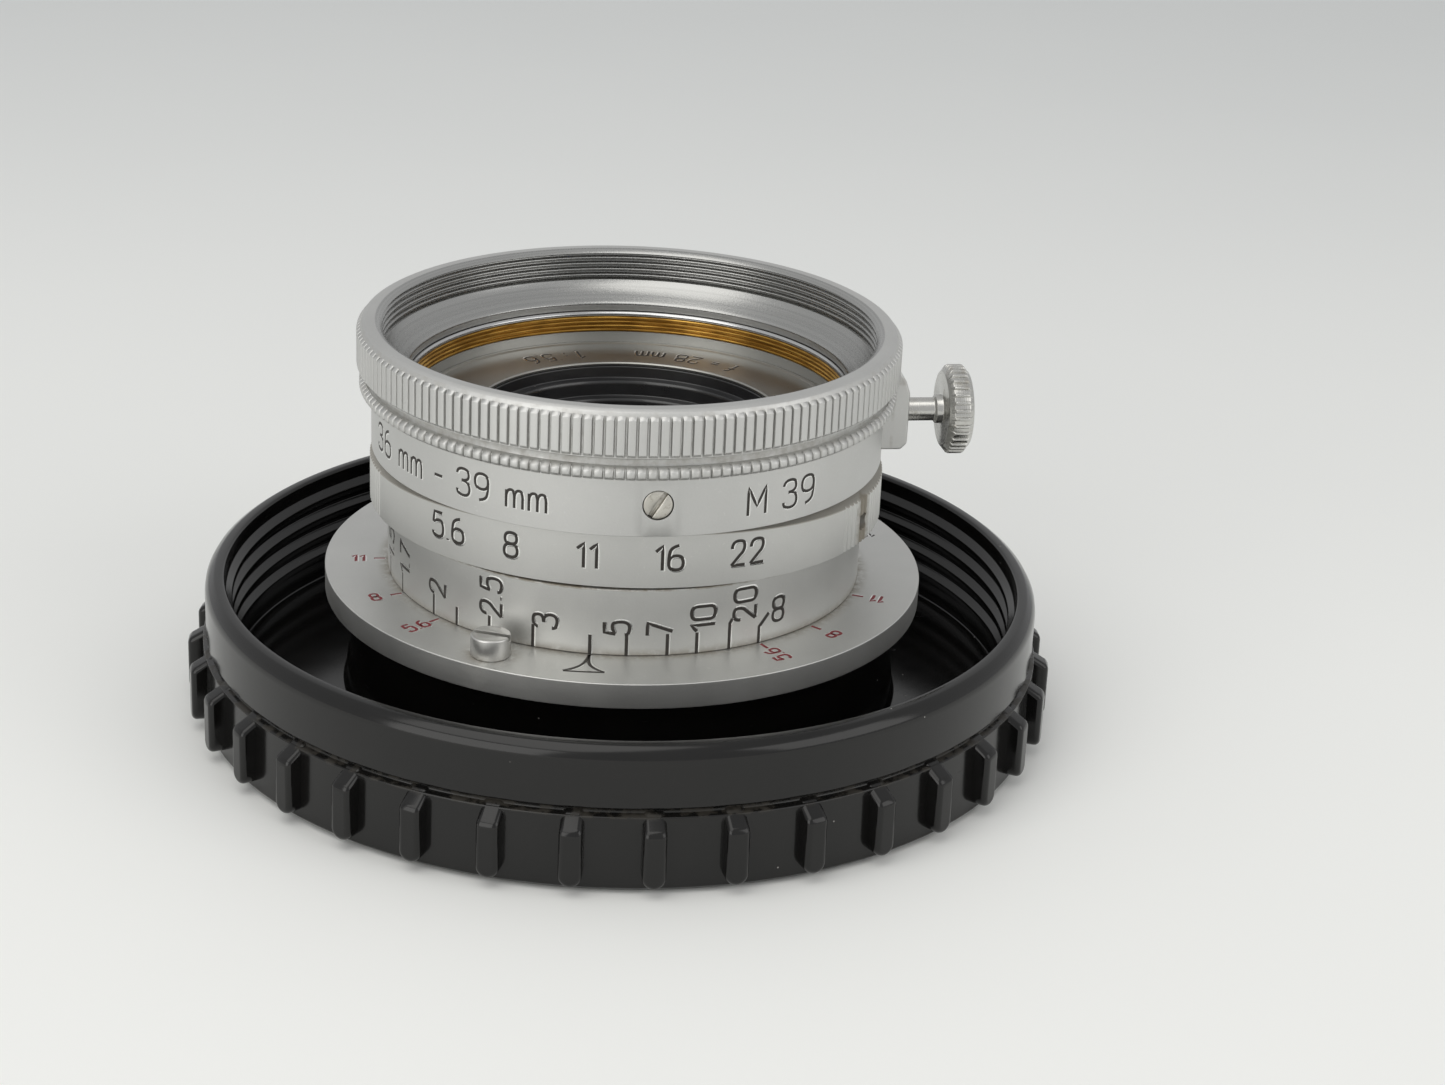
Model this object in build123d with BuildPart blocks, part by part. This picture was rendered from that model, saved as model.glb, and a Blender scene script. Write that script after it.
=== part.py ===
"""Screw-mount 28 mm f/5.6 wide-angle lens with a clamp-on filter adapter, standing in its keeper.

The origin is the centre of the keeper's underside, +Z runs up along the lens axis towards the
front of the lens, and +X points to the adapter's thumb screw side. Lengths are in millimetres.
Angles are measured about +Z from +X. The focus stands at 4 m and the aperture at f/11.
"""
from build123d import *
import os
from math import cos, radians, sin

os.makedirs("parts", exist_ok=True)

# ---- Driving dimensions -------------------------------------------------------------------
FIT = 0.05              # radial clearance of a running fit
SEAT = 0.02             # clearance between pieces that are fixed together

FLANGE_TOP = 12.0       # height of the flange's front face above the table
FLANGE_R = 24.0
FLANGE_THICK = 2.0
FLANGE_BACK = FLANGE_TOP - FLANGE_THICK

KEEPER_WALL_R = 33.5
KEEPER_FOOT_R = 33.7
KEEPER_RIB_R = 35.0
KEEPER_BORE_R = 31.9
KEEPER_TOP = 11.4
KEEPER_FLOOR = 1.8
KEEPER_RIBS = 36
KEEPER_RIB_START = -83.05
COLLAR_R = 21.95
COLLAR_FOOT_R = 22.3

MOUNT_THREAD_R = 19.4   # M39 x 26 turns per inch, crest slightly dressed
MOUNT_PITCH = 25.4 / 26
MOUNT_TAIL_END = 5.0
MOUNT_BORE_R = 17.6

INDEX_ANGLE = -94.8     # index line on the flange
INFINITY_TURN = 40.4    # drum turn from 4 m back to infinity
CAM_LIFT_PER_DEGREE = 0.017     # rise of the rangefinder cam for each degree of drum turn

DRUM_R = 19.0
DRUM_TOP = 17.4
BARREL_R = 17.5
SEAT_R = 18.0           # 36 mm push-on front seat
RIM_TOP = 27.5
FRONT_THREAD_R = 17.1   # 34 mm front thread
NAME_RING_TOP = 24.8
NAME_RING_BORE_R = 12.2

RING_BOTTOM = 17.62     # aperture ring
RING_TOP = 22.1
RING_LONG_R = 20.45
RING_SHORT_R = 19.05
RING_EAR_ANGLE = -5.0   # direction of the right ear
APERTURE_OPEN = 36.0    # ring turn from f/11 to f/5.6
APERTURE_CLOSE = 35.4   # ring turn from f/11 to f/22

ADAPTER_BOTTOM = 22.2
ADAPTER_TOP = 32.3
ADAPTER_SKIRT_R = 20.27
ADAPTER_KNURL_R = 21.4
FILTER_THREAD_R = 19.4  # 39 mm filter thread
FILTER_PITCH = 0.5
KNURL_RIBS = 167
CLAMP_ANGLE = 9.0       # direction of the thumb screw
SET_SCREW_ANGLE = -81.0

CELL_R = 9.8            # brass tube that carries the glass and the iris
CELL_BORE_R = 9.0
BLADES = 6


def section(*points):
    """Return the closed outline of (radius, height) points as a face in the XZ plane."""
    with BuildSketch(Plane.XZ) as outline:
        with BuildLine():
            Polyline(*points, close=True)
        make_face()
    return outline.sketch


def teeth(root, crest, low, pitch, count):
    """Return the (radius, height) points of a run of turned V threads, from low upwards."""
    points = []
    for turn in range(count):
        base = low + turn * pitch
        points.append((root, base + 0.10 * pitch))
        points.append((crest, base + 0.45 * pitch))
        points.append((crest, base + 0.65 * pitch))
        points.append((root, base + 1.00 * pitch))
    return points


def radial(angle, radius, height):
    """Return a plane that faces outwards at a place on a cylinder about Z."""
    out = (cos(radians(angle)), sin(radians(angle)))
    return Plane(
        origin=(radius * out[0], radius * out[1], height),
        x_dir=(-out[1], out[0], 0),
        z_dir=(out[0], out[1], 0),
    )


def flat(angle, radius, height):
    """Return a level plane whose X axis points outwards at a place about Z."""
    out = (cos(radians(angle)), sin(radians(angle)))
    return Plane(
        origin=(radius * out[0], radius * out[1], height),
        x_dir=(out[0], out[1], 0),
        z_dir=(0, 0, 1),
    )


def upright(angle):
    """Return the plane through Z whose X axis points outwards at an angle and Y axis is up."""
    out = (cos(radians(angle)), sin(radians(angle)))
    return Plane(origin=(0, 0, 0), x_dir=(out[0], out[1], 0), z_dir=(out[1], -out[0], 0))


def finish(piece, label):
    """Label a finished piece and write it as parts/label.step."""
    piece.label = label
    export_step(piece, f"parts/{label}.step")


# ---- Keeper -------------------------------------------------------------------------------
# One black moulding: a dish with a ribbed grip outside, a coarse thread for its dome inside,
# and a collar in the middle that the lens screws into.
DOME_THREAD_R = 31.35
DOME_PITCH = 1.7
COLLAR_TOP = FLANGE_BACK - SEAT
COLLAR_THREAD_R = MOUNT_THREAD_R + FIT + 0.01
COLLAR_THREAD_LOW = 4.6
CAM_WELL_R = 18.2
RIB_BAR_LOW = 1.3
RIB_BAR_TOP = 6.1
RIB_FACE_TOP = 5.25     # a bar's outer face ends here and its top slopes back to the wall
RIB_WIDTH = 1.75
DOME_THREAD_LOW = 3.4

with BuildPart() as keeper_base:
    dome_turns = teeth(KEEPER_BORE_R, DOME_THREAD_R, DOME_THREAD_LOW, DOME_PITCH, 4)
    collar_turns = teeth(COLLAR_THREAD_R + 0.5, COLLAR_THREAD_R, COLLAR_THREAD_LOW, MOUNT_PITCH, 5)
    revolve(
        section(
            (0, 0),
            (KEEPER_FOOT_R - 0.5, 0),
            (KEEPER_FOOT_R, 0.5),
            (KEEPER_FOOT_R - 0.05, 6.1),
            (KEEPER_WALL_R - 0.35, 6.2),
            (KEEPER_WALL_R - 0.35, 6.5),
            (KEEPER_WALL_R, 6.7),
            (KEEPER_WALL_R, 10.3),
            (KEEPER_WALL_R - 0.3, 11.0),
            (KEEPER_WALL_R - 0.8, KEEPER_TOP),
            (KEEPER_BORE_R + 0.15, KEEPER_TOP),
            (KEEPER_BORE_R, KEEPER_TOP - 0.15),
            *reversed(dome_turns),
            (KEEPER_BORE_R, KEEPER_FLOOR + 0.6),
            (KEEPER_BORE_R - 0.6, KEEPER_FLOOR),
            (COLLAR_FOOT_R + 0.2, KEEPER_FLOOR),
            (COLLAR_FOOT_R, KEEPER_FLOOR + 0.2),
            (COLLAR_FOOT_R, 3.6),
            (COLLAR_R, 3.9),
            (COLLAR_R, COLLAR_TOP),
            (COLLAR_THREAD_R + 0.5, COLLAR_TOP),
            *reversed(collar_turns),
            (CAM_WELL_R, COLLAR_THREAD_LOW),
            (CAM_WELL_R, KEEPER_FLOOR),
            (0, KEEPER_FLOOR),
        ),
        axis=Axis.Z,
    )
    for rib in range(KEEPER_RIBS):
        rib_angle = KEEPER_RIB_START + rib * 360 / KEEPER_RIBS
        with BuildSketch(radial(rib_angle, KEEPER_WALL_R - 0.4, 0)):
            with BuildLine():
                Line((-RIB_WIDTH / 2, RIB_BAR_LOW), (-RIB_WIDTH / 2, RIB_BAR_TOP))
                Line((-RIB_WIDTH / 2, RIB_BAR_TOP), (RIB_WIDTH / 2, RIB_BAR_TOP))
                Line((RIB_WIDTH / 2, RIB_BAR_TOP), (RIB_WIDTH / 2, RIB_BAR_LOW))
                RadiusArc((RIB_WIDTH / 2, RIB_BAR_LOW), (-RIB_WIDTH / 2, RIB_BAR_LOW), RIB_WIDTH / 2)
            make_face()
        extrude(amount=KEEPER_RIB_R - KEEPER_WALL_R + 0.4)
    revolve(
        section(
            (KEEPER_FOOT_R + 0.1, 6.3),
            (KEEPER_FOOT_R + 0.1, 6.05),
            (KEEPER_RIB_R + 0.1, RIB_FACE_TOP),
            (KEEPER_RIB_R + 0.1, 6.3),
        ),
        axis=Axis.Z,
        mode=Mode.SUBTRACT,
    )
finish(keeper_base.part, "keeper_base")

# ---- Mount: flange, stop post, fixed helicoid, infinity catch ------------------------------
# The flange carries the index and depth marks in front and the 39 mm mounting thread behind.
POST_ANGLE = -114.5
POST_R = 21.65
POST_HEIGHT = 1.7
POST_RADIUS = 1.52
POST_SLOT_ANGLE = 100.0
SPIGOT_RADIUS = 0.8
KEY_ANGLE = 60.0
KEY_HEIGHT = 6.25
KEY_RADIUS = 0.55
HELICOID_SCREW_ANGLES = (0, 120, 240)
HELICOID_SCREW_HEIGHT = 8.7
SMALL_SCREW_RADIUS = 0.6
CATCH_ANGLE = 63.6      # where the lock pin stands when the lens is focused at infinity
CATCH_SCREW_RADIUS = 0.55
FIXED_HELICOID_LOW = 7.6
HELICOID_R = 16.6       # crest radius of the female focusing thread

with BuildPart() as mount_flange:
    tail_turns = teeth(MOUNT_THREAD_R - 0.5, MOUNT_THREAD_R, MOUNT_TAIL_END + 0.1, MOUNT_PITCH, 4)
    revolve(
        section(
            (MOUNT_BORE_R, MOUNT_TAIL_END),
            (MOUNT_THREAD_R - 0.5, MOUNT_TAIL_END),
            *tail_turns,
            (MOUNT_THREAD_R - 0.5, FLANGE_BACK),
            (FLANGE_R - 0.1, FLANGE_BACK),
            (FLANGE_R, FLANGE_BACK + 0.1),
            (FLANGE_R, FLANGE_TOP - 0.12),
            (FLANGE_R - 0.12, FLANGE_TOP),
            (MOUNT_BORE_R, FLANGE_TOP),
        ),
        axis=Axis.Z,
    )
    with BuildSketch(flat(POST_ANGLE, POST_R, FLANGE_BACK)):
        Circle(SPIGOT_RADIUS)
    extrude(amount=FLANGE_THICK, mode=Mode.SUBTRACT)
    with BuildSketch(radial(KEY_ANGLE, MOUNT_BORE_R - 0.5, KEY_HEIGHT)):
        Circle(KEY_RADIUS)
    extrude(amount=3, mode=Mode.SUBTRACT)
    for screw_angle in HELICOID_SCREW_ANGLES:
        with BuildSketch(radial(screw_angle, MOUNT_BORE_R - 0.5, HELICOID_SCREW_HEIGHT)):
            Circle(SMALL_SCREW_RADIUS)
        extrude(amount=3, mode=Mode.SUBTRACT)
    with BuildSketch(flat(CATCH_ANGLE, 0, FLANGE_TOP)):
        with Locations((21.6, -1.3), (21.6, 1.3)):
            Circle(CATCH_SCREW_RADIUS)
    extrude(amount=-1.6, mode=Mode.SUBTRACT)
finish(mount_flange.part, "mount_flange")

with BuildPart() as stop_post:
    with BuildSketch(flat(POST_ANGLE, POST_R, FLANGE_BACK + 0.1)):
        Circle(SPIGOT_RADIUS)
    extrude(amount=FLANGE_THICK - 0.1)
    with BuildSketch(flat(POST_ANGLE, POST_R, FLANGE_TOP)):
        Circle(POST_RADIUS)
    extrude(amount=POST_HEIGHT)
    chamfer(stop_post.edges().group_by(Axis.Z)[-1], 0.18)
    with BuildSketch(flat(POST_ANGLE, POST_R, FLANGE_TOP + POST_HEIGHT)):
        Rectangle(4, 0.5, rotation=POST_SLOT_ANGLE)
    extrude(amount=-0.5, mode=Mode.SUBTRACT)
finish(stop_post.part, "stop_post")

with BuildPart() as fixed_helicoid:
    helicoid_turns = teeth(HELICOID_R + 0.35, HELICOID_R, FIXED_HELICOID_LOW + 0.2, 0.8, 5)
    revolve(
        section(
            (HELICOID_R + 0.35, FIXED_HELICOID_LOW),
            (MOUNT_BORE_R - SEAT, FIXED_HELICOID_LOW),
            (MOUNT_BORE_R - SEAT, FLANGE_TOP - 0.05),
            (HELICOID_R + 0.35, FLANGE_TOP - 0.05),
            *reversed(helicoid_turns),
        ),
        axis=Axis.Z,
    )
    for screw_angle in HELICOID_SCREW_ANGLES:
        with BuildSketch(radial(screw_angle, HELICOID_R + 0.5, HELICOID_SCREW_HEIGHT)):
            Circle(SMALL_SCREW_RADIUS)
        extrude(amount=2, mode=Mode.SUBTRACT)
finish(fixed_helicoid.part, "fixed_helicoid")

with BuildPart() as helicoid_screws:
    for screw_angle in HELICOID_SCREW_ANGLES:
        with BuildSketch(radial(screw_angle, HELICOID_R + 0.55, HELICOID_SCREW_HEIGHT)):
            Circle(SMALL_SCREW_RADIUS - SEAT)
        extrude(amount=MOUNT_THREAD_R - 0.62 - HELICOID_R - 0.55)
        with BuildSketch(radial(screw_angle, MOUNT_THREAD_R - 0.62, HELICOID_SCREW_HEIGHT)):
            Rectangle(2, 0.24)
        extrude(amount=-0.3, mode=Mode.SUBTRACT)
finish(helicoid_screws.part, "helicoid_screws")

with BuildPart() as cam_key:
    with BuildSketch(radial(KEY_ANGLE, 16.05, KEY_HEIGHT)):
        Circle(KEY_RADIUS - SEAT)
    extrude(amount=MOUNT_THREAD_R - 0.62 - 16.05)
    with BuildSketch(radial(KEY_ANGLE, MOUNT_THREAD_R - 0.62, KEY_HEIGHT)):
        Rectangle(2, 0.24)
    extrude(amount=-0.3, mode=Mode.SUBTRACT)
finish(cam_key.part, "cam_key")

# The catch is a small steel fork on the flange's edge that the lever's lock pin runs into.
PIN_R = 25.4            # distance of the lock pin from the lens axis
PIN_RADIUS = 0.6

with BuildPart() as infinity_catch:
    with BuildSketch(flat(CATCH_ANGLE, 0, FLANGE_TOP)):
        with Locations((23.55, 0.2)):
            Rectangle(5.9, 5.0)
        with Locations((PIN_R, 1.7)):
            Rectangle(1.5, 4.6, mode=Mode.SUBTRACT)
        with Locations((21.6, -1.3), (21.6, 1.3)):
            Circle(CATCH_SCREW_RADIUS, mode=Mode.SUBTRACT)
    extrude(amount=0.6)
    chamfer(infinity_catch.edges().group_by(Axis.Z)[-1], 0.1)
finish(infinity_catch.part, "infinity_catch")

with BuildPart() as catch_screws:
    with BuildSketch(flat(CATCH_ANGLE, 0, FLANGE_TOP - 1.5)):
        with Locations((21.6, -1.3), (21.6, 1.3)):
            Circle(CATCH_SCREW_RADIUS - SEAT)
    extrude(amount=2.1)
    with BuildSketch(flat(CATCH_ANGLE, 0, FLANGE_TOP + 0.6)):
        with Locations((21.6, -1.3), (21.6, 1.3)):
            Circle(0.95)
    extrude(amount=0.3)
    with BuildSketch(flat(CATCH_ANGLE, 0, FLANGE_TOP + 0.9)):
        with Locations((21.6, -1.3), (21.6, 1.3)):
            Rectangle(0.25, 2.2)
    extrude(amount=-0.2, mode=Mode.SUBTRACT)
finish(catch_screws.part, "catch_screws")

# ---- Rangefinder cam ----------------------------------------------------------------------
# A brass ring whose rear face the camera's rangefinder roller follows. A key stops it turning.
CAM_FACE = FLANGE_BACK - 7.5 + INFINITY_TURN * CAM_LIFT_PER_DEGREE
KEY_SLOT_START = 0.3    # the slot starts this far above the cam face, to clear the key at 1 m

with BuildPart() as rangefinder_cam:
    revolve(
        section(
            (15.9, CAM_FACE + 0.15),
            (16.05, CAM_FACE),
            (17.15, CAM_FACE),
            (17.3, CAM_FACE + 0.15),
            (17.3, CAM_FACE + 2.0),
            (16.45, CAM_FACE + 2.0),
            (16.45, CAM_FACE + 3.4),
            (15.9, CAM_FACE + 3.4),
        ),
        axis=Axis.Z,
    )
    with BuildSketch(radial(KEY_ANGLE, 15.5, CAM_FACE)):
        with Locations((0, KEY_SLOT_START)):
            Rectangle(2 * (KEY_RADIUS + FIT), 5, align=(Align.CENTER, Align.MIN))
    extrude(amount=3, mode=Mode.SUBTRACT)
finish(rangefinder_cam.part, "rangefinder_cam")

# ---- Focus drum with its lever and infinity lock --------------------------------------------
DRUM_BOTTOM = FLANGE_TOP + 0.04
SLEEVE_R = 18.25
SLEEVE_BORE_R = BARREL_R + FIT
DRUM_SCREW_ANGLES = (20, 140, 215)
DRUM_SCREW_HEIGHT = 14.8
LEVER_ANGLE = CATCH_ANGLE + INFINITY_TURN
LEVER_SPREAD = 13.0
LEVER_SCREW_OFFSET = 8.0
LEVER_SCREW_HEIGHT = 15.2
DRIVE_KEY_ANGLES = (-30, 150)
DRIVE_KEY_HEIGHT = 14.2
LEVER_LOW = 13.1
LEVER_HIGH = 15.0
BUTTON_RADIUS = 2.0
BUTTON_TRAVEL = 0.8

with BuildPart() as focus_drum:
    revolve(
        section(
            (SLEEVE_R + SEAT, DRUM_BOTTOM),
            (DRUM_R - 0.1, DRUM_BOTTOM),
            (DRUM_R, DRUM_BOTTOM + 0.1),
            (DRUM_R, DRUM_TOP - 0.1),
            (DRUM_R - 0.1, DRUM_TOP),
            (SLEEVE_R + SEAT, DRUM_TOP),
        ),
        axis=Axis.Z,
    )
    for screw_angle in DRUM_SCREW_ANGLES:
        with BuildSketch(radial(screw_angle, SLEEVE_R - 0.2, DRUM_SCREW_HEIGHT)):
            Circle(SMALL_SCREW_RADIUS)
        extrude(amount=1.5, mode=Mode.SUBTRACT)
    for side in (-1, 1):
        with BuildSketch(
            radial(LEVER_ANGLE + side * LEVER_SCREW_OFFSET, SLEEVE_R - 0.2, LEVER_SCREW_HEIGHT)
        ):
            Circle(SMALL_SCREW_RADIUS)
        extrude(amount=1.5, mode=Mode.SUBTRACT)
finish(focus_drum.part, "focus_drum")

with BuildPart() as drive_sleeve:
    revolve(
        section(
            (SLEEVE_BORE_R, DRUM_BOTTOM + 0.06),
            (SLEEVE_R, DRUM_BOTTOM + 0.06),
            (SLEEVE_R, DRUM_TOP - 0.1),
            (SLEEVE_BORE_R, DRUM_TOP - 0.1),
        ),
        axis=Axis.Z,
    )
    for key_angle in DRIVE_KEY_ANGLES:
        with BuildSketch(radial(key_angle, SLEEVE_BORE_R - 0.5, DRUM_BOTTOM)):
            Rectangle(1.5, 8)
        extrude(amount=1.8, mode=Mode.SUBTRACT)
    for screw_angle in DRUM_SCREW_ANGLES:
        with BuildSketch(radial(screw_angle, SLEEVE_R - 0.45, DRUM_SCREW_HEIGHT)):
            Circle(SMALL_SCREW_RADIUS)
        extrude(amount=1.5, mode=Mode.SUBTRACT)
    for side in (-1, 1):
        with BuildSketch(
            radial(LEVER_ANGLE + side * LEVER_SCREW_OFFSET, SLEEVE_R - 0.45, LEVER_SCREW_HEIGHT)
        ):
            Circle(SMALL_SCREW_RADIUS)
        extrude(amount=1.5, mode=Mode.SUBTRACT)
finish(drive_sleeve.part, "drive_sleeve")

with BuildPart() as drum_screws:
    for screw_angle in DRUM_SCREW_ANGLES:
        with BuildSketch(radial(screw_angle, SLEEVE_R - 0.42, DRUM_SCREW_HEIGHT)):
            Circle(SMALL_SCREW_RADIUS - SEAT)
        extrude(amount=DRUM_R - 0.05 - SLEEVE_R + 0.42)
        with BuildSketch(radial(screw_angle, DRUM_R - 0.05, DRUM_SCREW_HEIGHT)):
            Rectangle(2, 0.24)
        extrude(amount=-0.3, mode=Mode.SUBTRACT)
finish(drum_screws.part, "drum_screws")

with BuildPart() as focus_lever:
    revolve(
        section(
            (DRUM_R + SEAT, LEVER_LOW - 0.3),
            (DRUM_R + 0.9, LEVER_LOW - 0.3),
            (DRUM_R + 0.9, 16.6),
            (DRUM_R + SEAT, 16.6),
        ),
        axis=Axis.Z,
    )
    with BuildSketch(flat(LEVER_ANGLE, 0, LEVER_LOW - 1)):
        with BuildLine():
            Polyline(
                (0, 0),
                (40 * cos(radians(LEVER_SPREAD)), 40 * sin(radians(LEVER_SPREAD))),
                (40 * cos(radians(LEVER_SPREAD)), -40 * sin(radians(LEVER_SPREAD))),
                close=True,
            )
        make_face()
    extrude(amount=8, mode=Mode.INTERSECT)
    with BuildSketch(flat(LEVER_ANGLE, 0, LEVER_LOW)):
        with BuildLine():
            Polyline((19.2, -1.6), (PIN_R, -2.1), (PIN_R, 2.1), (19.2, 1.6), close=True)
        make_face()
        with Locations((PIN_R, 0)):
            Circle(2.7)
    extrude(amount=LEVER_HIGH - LEVER_LOW)
    with BuildSketch(flat(LEVER_ANGLE, PIN_R, LEVER_HIGH)):
        Circle(BUTTON_RADIUS + FIT)
    extrude(amount=-1.2, mode=Mode.SUBTRACT)
    with BuildSketch(flat(LEVER_ANGLE, PIN_R, LEVER_LOW)):
        Circle(PIN_RADIUS + FIT)
    extrude(amount=1, mode=Mode.SUBTRACT)
    for side in (-1, 1):
        with BuildSketch(
            radial(LEVER_ANGLE + side * LEVER_SCREW_OFFSET, DRUM_R - 0.2, LEVER_SCREW_HEIGHT)
        ):
            Circle(SMALL_SCREW_RADIUS)
        extrude(amount=2, mode=Mode.SUBTRACT)
finish(focus_lever.part, "focus_lever")

with BuildPart() as lever_screws:
    for side in (-1, 1):
        lever_screw_angle = LEVER_ANGLE + side * LEVER_SCREW_OFFSET
        with BuildSketch(radial(lever_screw_angle, SLEEVE_R - 0.42, LEVER_SCREW_HEIGHT)):
            Circle(SMALL_SCREW_RADIUS - SEAT)
        extrude(amount=DRUM_R + 1.0 - SLEEVE_R + 0.42)
        with BuildSketch(radial(lever_screw_angle, DRUM_R + 1.0, LEVER_SCREW_HEIGHT)):
            Circle(1.0)
        extrude(amount=0.35)
        with BuildSketch(radial(lever_screw_angle, DRUM_R + 1.35, LEVER_SCREW_HEIGHT)):
            Rectangle(2.4, 0.26)
        extrude(amount=-0.22, mode=Mode.SUBTRACT)
finish(lever_screws.part, "lever_screws")

# The button is pressed down against a spring; its pin stands beside the flange's edge.
BUTTON_SEAT = LEVER_HIGH - 1.2
SPRING_WIRE = 0.11
SPRING_R = 1.2

with BuildPart() as lock_button:
    with BuildSketch(flat(LEVER_ANGLE, PIN_R, BUTTON_SEAT + BUTTON_TRAVEL + 0.1)):
        Circle(BUTTON_RADIUS)
    extrude(amount=1.5)
    chamfer(lock_button.edges().group_by(Axis.Z)[-1], 0.25)
    with BuildSketch(flat(LEVER_ANGLE, PIN_R, FLANGE_TOP - 0.2)):
        Circle(PIN_RADIUS)
    extrude(amount=BUTTON_SEAT + BUTTON_TRAVEL + 0.2 - FLANGE_TOP + 0.2)
finish(lock_button.part, "lock_button")

with BuildPart() as lock_spring:
    with BuildLine():
        spring_wire = Helix(
            pitch=0.26,
            height=0.72,
            radius=SPRING_R,
            center=(
                PIN_R * cos(radians(LEVER_ANGLE)),
                PIN_R * sin(radians(LEVER_ANGLE)),
                BUTTON_SEAT + 0.09,
            ),
        )
    with BuildSketch(Plane(origin=spring_wire @ 0, z_dir=spring_wire % 0)):
        Circle(SPRING_WIRE / 2)
    sweep(path=spring_wire, is_frenet=True)
finish(lock_spring.part, "lock_spring")

# ---- Optical head: barrel, front rings, baffle ----------------------------------------------
BARREL_LOW = FLANGE_TOP + 0.35
BARREL_BORE_R = 16.0
IRIS_PIN_ANGLE = 90.0
IRIS_PIN_HEIGHT = 19.6
SLOT_HALF_ANGLE = 43.0
THREAD_RING_LOW = 25.75
THREAD_RING_TOP = 27.15
RIM_SEAT_R = 17.6

with BuildPart() as lens_barrel:
    revolve(
        section(
            (BARREL_BORE_R, BARREL_LOW),
            (BARREL_R - 0.1, BARREL_LOW),
            (BARREL_R, BARREL_LOW + 0.1),
            (BARREL_R, RING_TOP + 0.02),
            (SEAT_R, RING_TOP + 0.02),
            (SEAT_R, RIM_TOP - 0.15),
            (SEAT_R - 0.15, RIM_TOP),
            (RIM_SEAT_R, RIM_TOP),
            (RIM_SEAT_R, THREAD_RING_LOW),
            (FRONT_THREAD_R + 0.1, THREAD_RING_LOW),
            (FRONT_THREAD_R + 0.1, NAME_RING_TOP - 0.4),
            (BARREL_BORE_R, NAME_RING_TOP - 0.4),
        ),
        axis=Axis.Z,
    )
    with BuildSketch(Plane.XY.offset(IRIS_PIN_HEIGHT - 0.7)):
        with BuildLine():
            Polyline(
                (0, 0),
                (40 * sin(radians(SLOT_HALF_ANGLE)), 40 * cos(radians(SLOT_HALF_ANGLE))),
                (-40 * sin(radians(SLOT_HALF_ANGLE)), 40 * cos(radians(SLOT_HALF_ANGLE))),
                close=True,
            )
        make_face()
    extrude(amount=1.4, mode=Mode.SUBTRACT)
    for key_angle in DRIVE_KEY_ANGLES:
        with BuildSketch(radial(key_angle, BARREL_BORE_R - 0.5, DRIVE_KEY_HEIGHT)):
            Circle(SMALL_SCREW_RADIUS)
        extrude(amount=3, mode=Mode.SUBTRACT)
finish(lens_barrel.part, "lens_barrel")

with BuildPart() as drive_keys:
    for key_angle in DRIVE_KEY_ANGLES:
        with BuildSketch(radial(key_angle, BARREL_BORE_R + 0.1, DRIVE_KEY_HEIGHT)):
            Circle(SMALL_SCREW_RADIUS - SEAT)
        extrude(amount=SLEEVE_R - 0.1 - BARREL_BORE_R - 0.1)
finish(drive_keys.part, "drive_keys")

with BuildPart() as front_thread_ring:
    front_turns = teeth(FRONT_THREAD_R + 0.22, FRONT_THREAD_R, THREAD_RING_LOW, 0.35, 4)
    revolve(
        section(
            (FRONT_THREAD_R + 0.22, THREAD_RING_LOW),
            (RIM_SEAT_R - SEAT, THREAD_RING_LOW),
            (RIM_SEAT_R - SEAT, THREAD_RING_TOP),
            (FRONT_THREAD_R + 0.22, THREAD_RING_TOP),
            *reversed(front_turns),
        ),
        axis=Axis.Z,
    )
finish(front_thread_ring.part, "front_thread_ring")

with BuildPart() as front_rim_ring:
    revolve(
        section(
            (FRONT_THREAD_R + 0.05, THREAD_RING_TOP),
            (RIM_SEAT_R - SEAT, THREAD_RING_TOP),
            (RIM_SEAT_R - SEAT, RIM_TOP),
            (FRONT_THREAD_R + 0.2, RIM_TOP),
            (FRONT_THREAD_R + 0.05, RIM_TOP - 0.15),
        ),
        axis=Axis.Z,
    )
finish(front_rim_ring.part, "front_rim_ring")

with BuildPart() as name_ring:
    revolve(
        section(
            (NAME_RING_BORE_R, NAME_RING_TOP - 0.4),
            (FRONT_THREAD_R + 0.08, NAME_RING_TOP - 0.4),
            (FRONT_THREAD_R + 0.08, NAME_RING_TOP + 0.1),
            (FRONT_THREAD_R - 0.25, NAME_RING_TOP + 0.1),
            (FRONT_THREAD_R - 0.4, NAME_RING_TOP),
            (NAME_RING_BORE_R + 0.1, NAME_RING_TOP - 0.12),
            (NAME_RING_BORE_R, NAME_RING_TOP - 0.2),
        ),
        axis=Axis.Z,
    )
finish(name_ring.part, "name_ring")

# The baffle is a black stepped funnel from the name ring down to the front glass.
BAFFLE_STEPS = 7
BAFFLE_TOP = NAME_RING_TOP - 0.42
BAFFLE_DEPTH = 8.6
BAFFLE_MOUTH_R = 12.0
BAFFLE_THROAT_R = 5.2
STEP_DROP = BAFFLE_DEPTH / BAFFLE_STEPS
STEP_IN = (BAFFLE_MOUTH_R - BAFFLE_THROAT_R) / BAFFLE_STEPS

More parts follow.
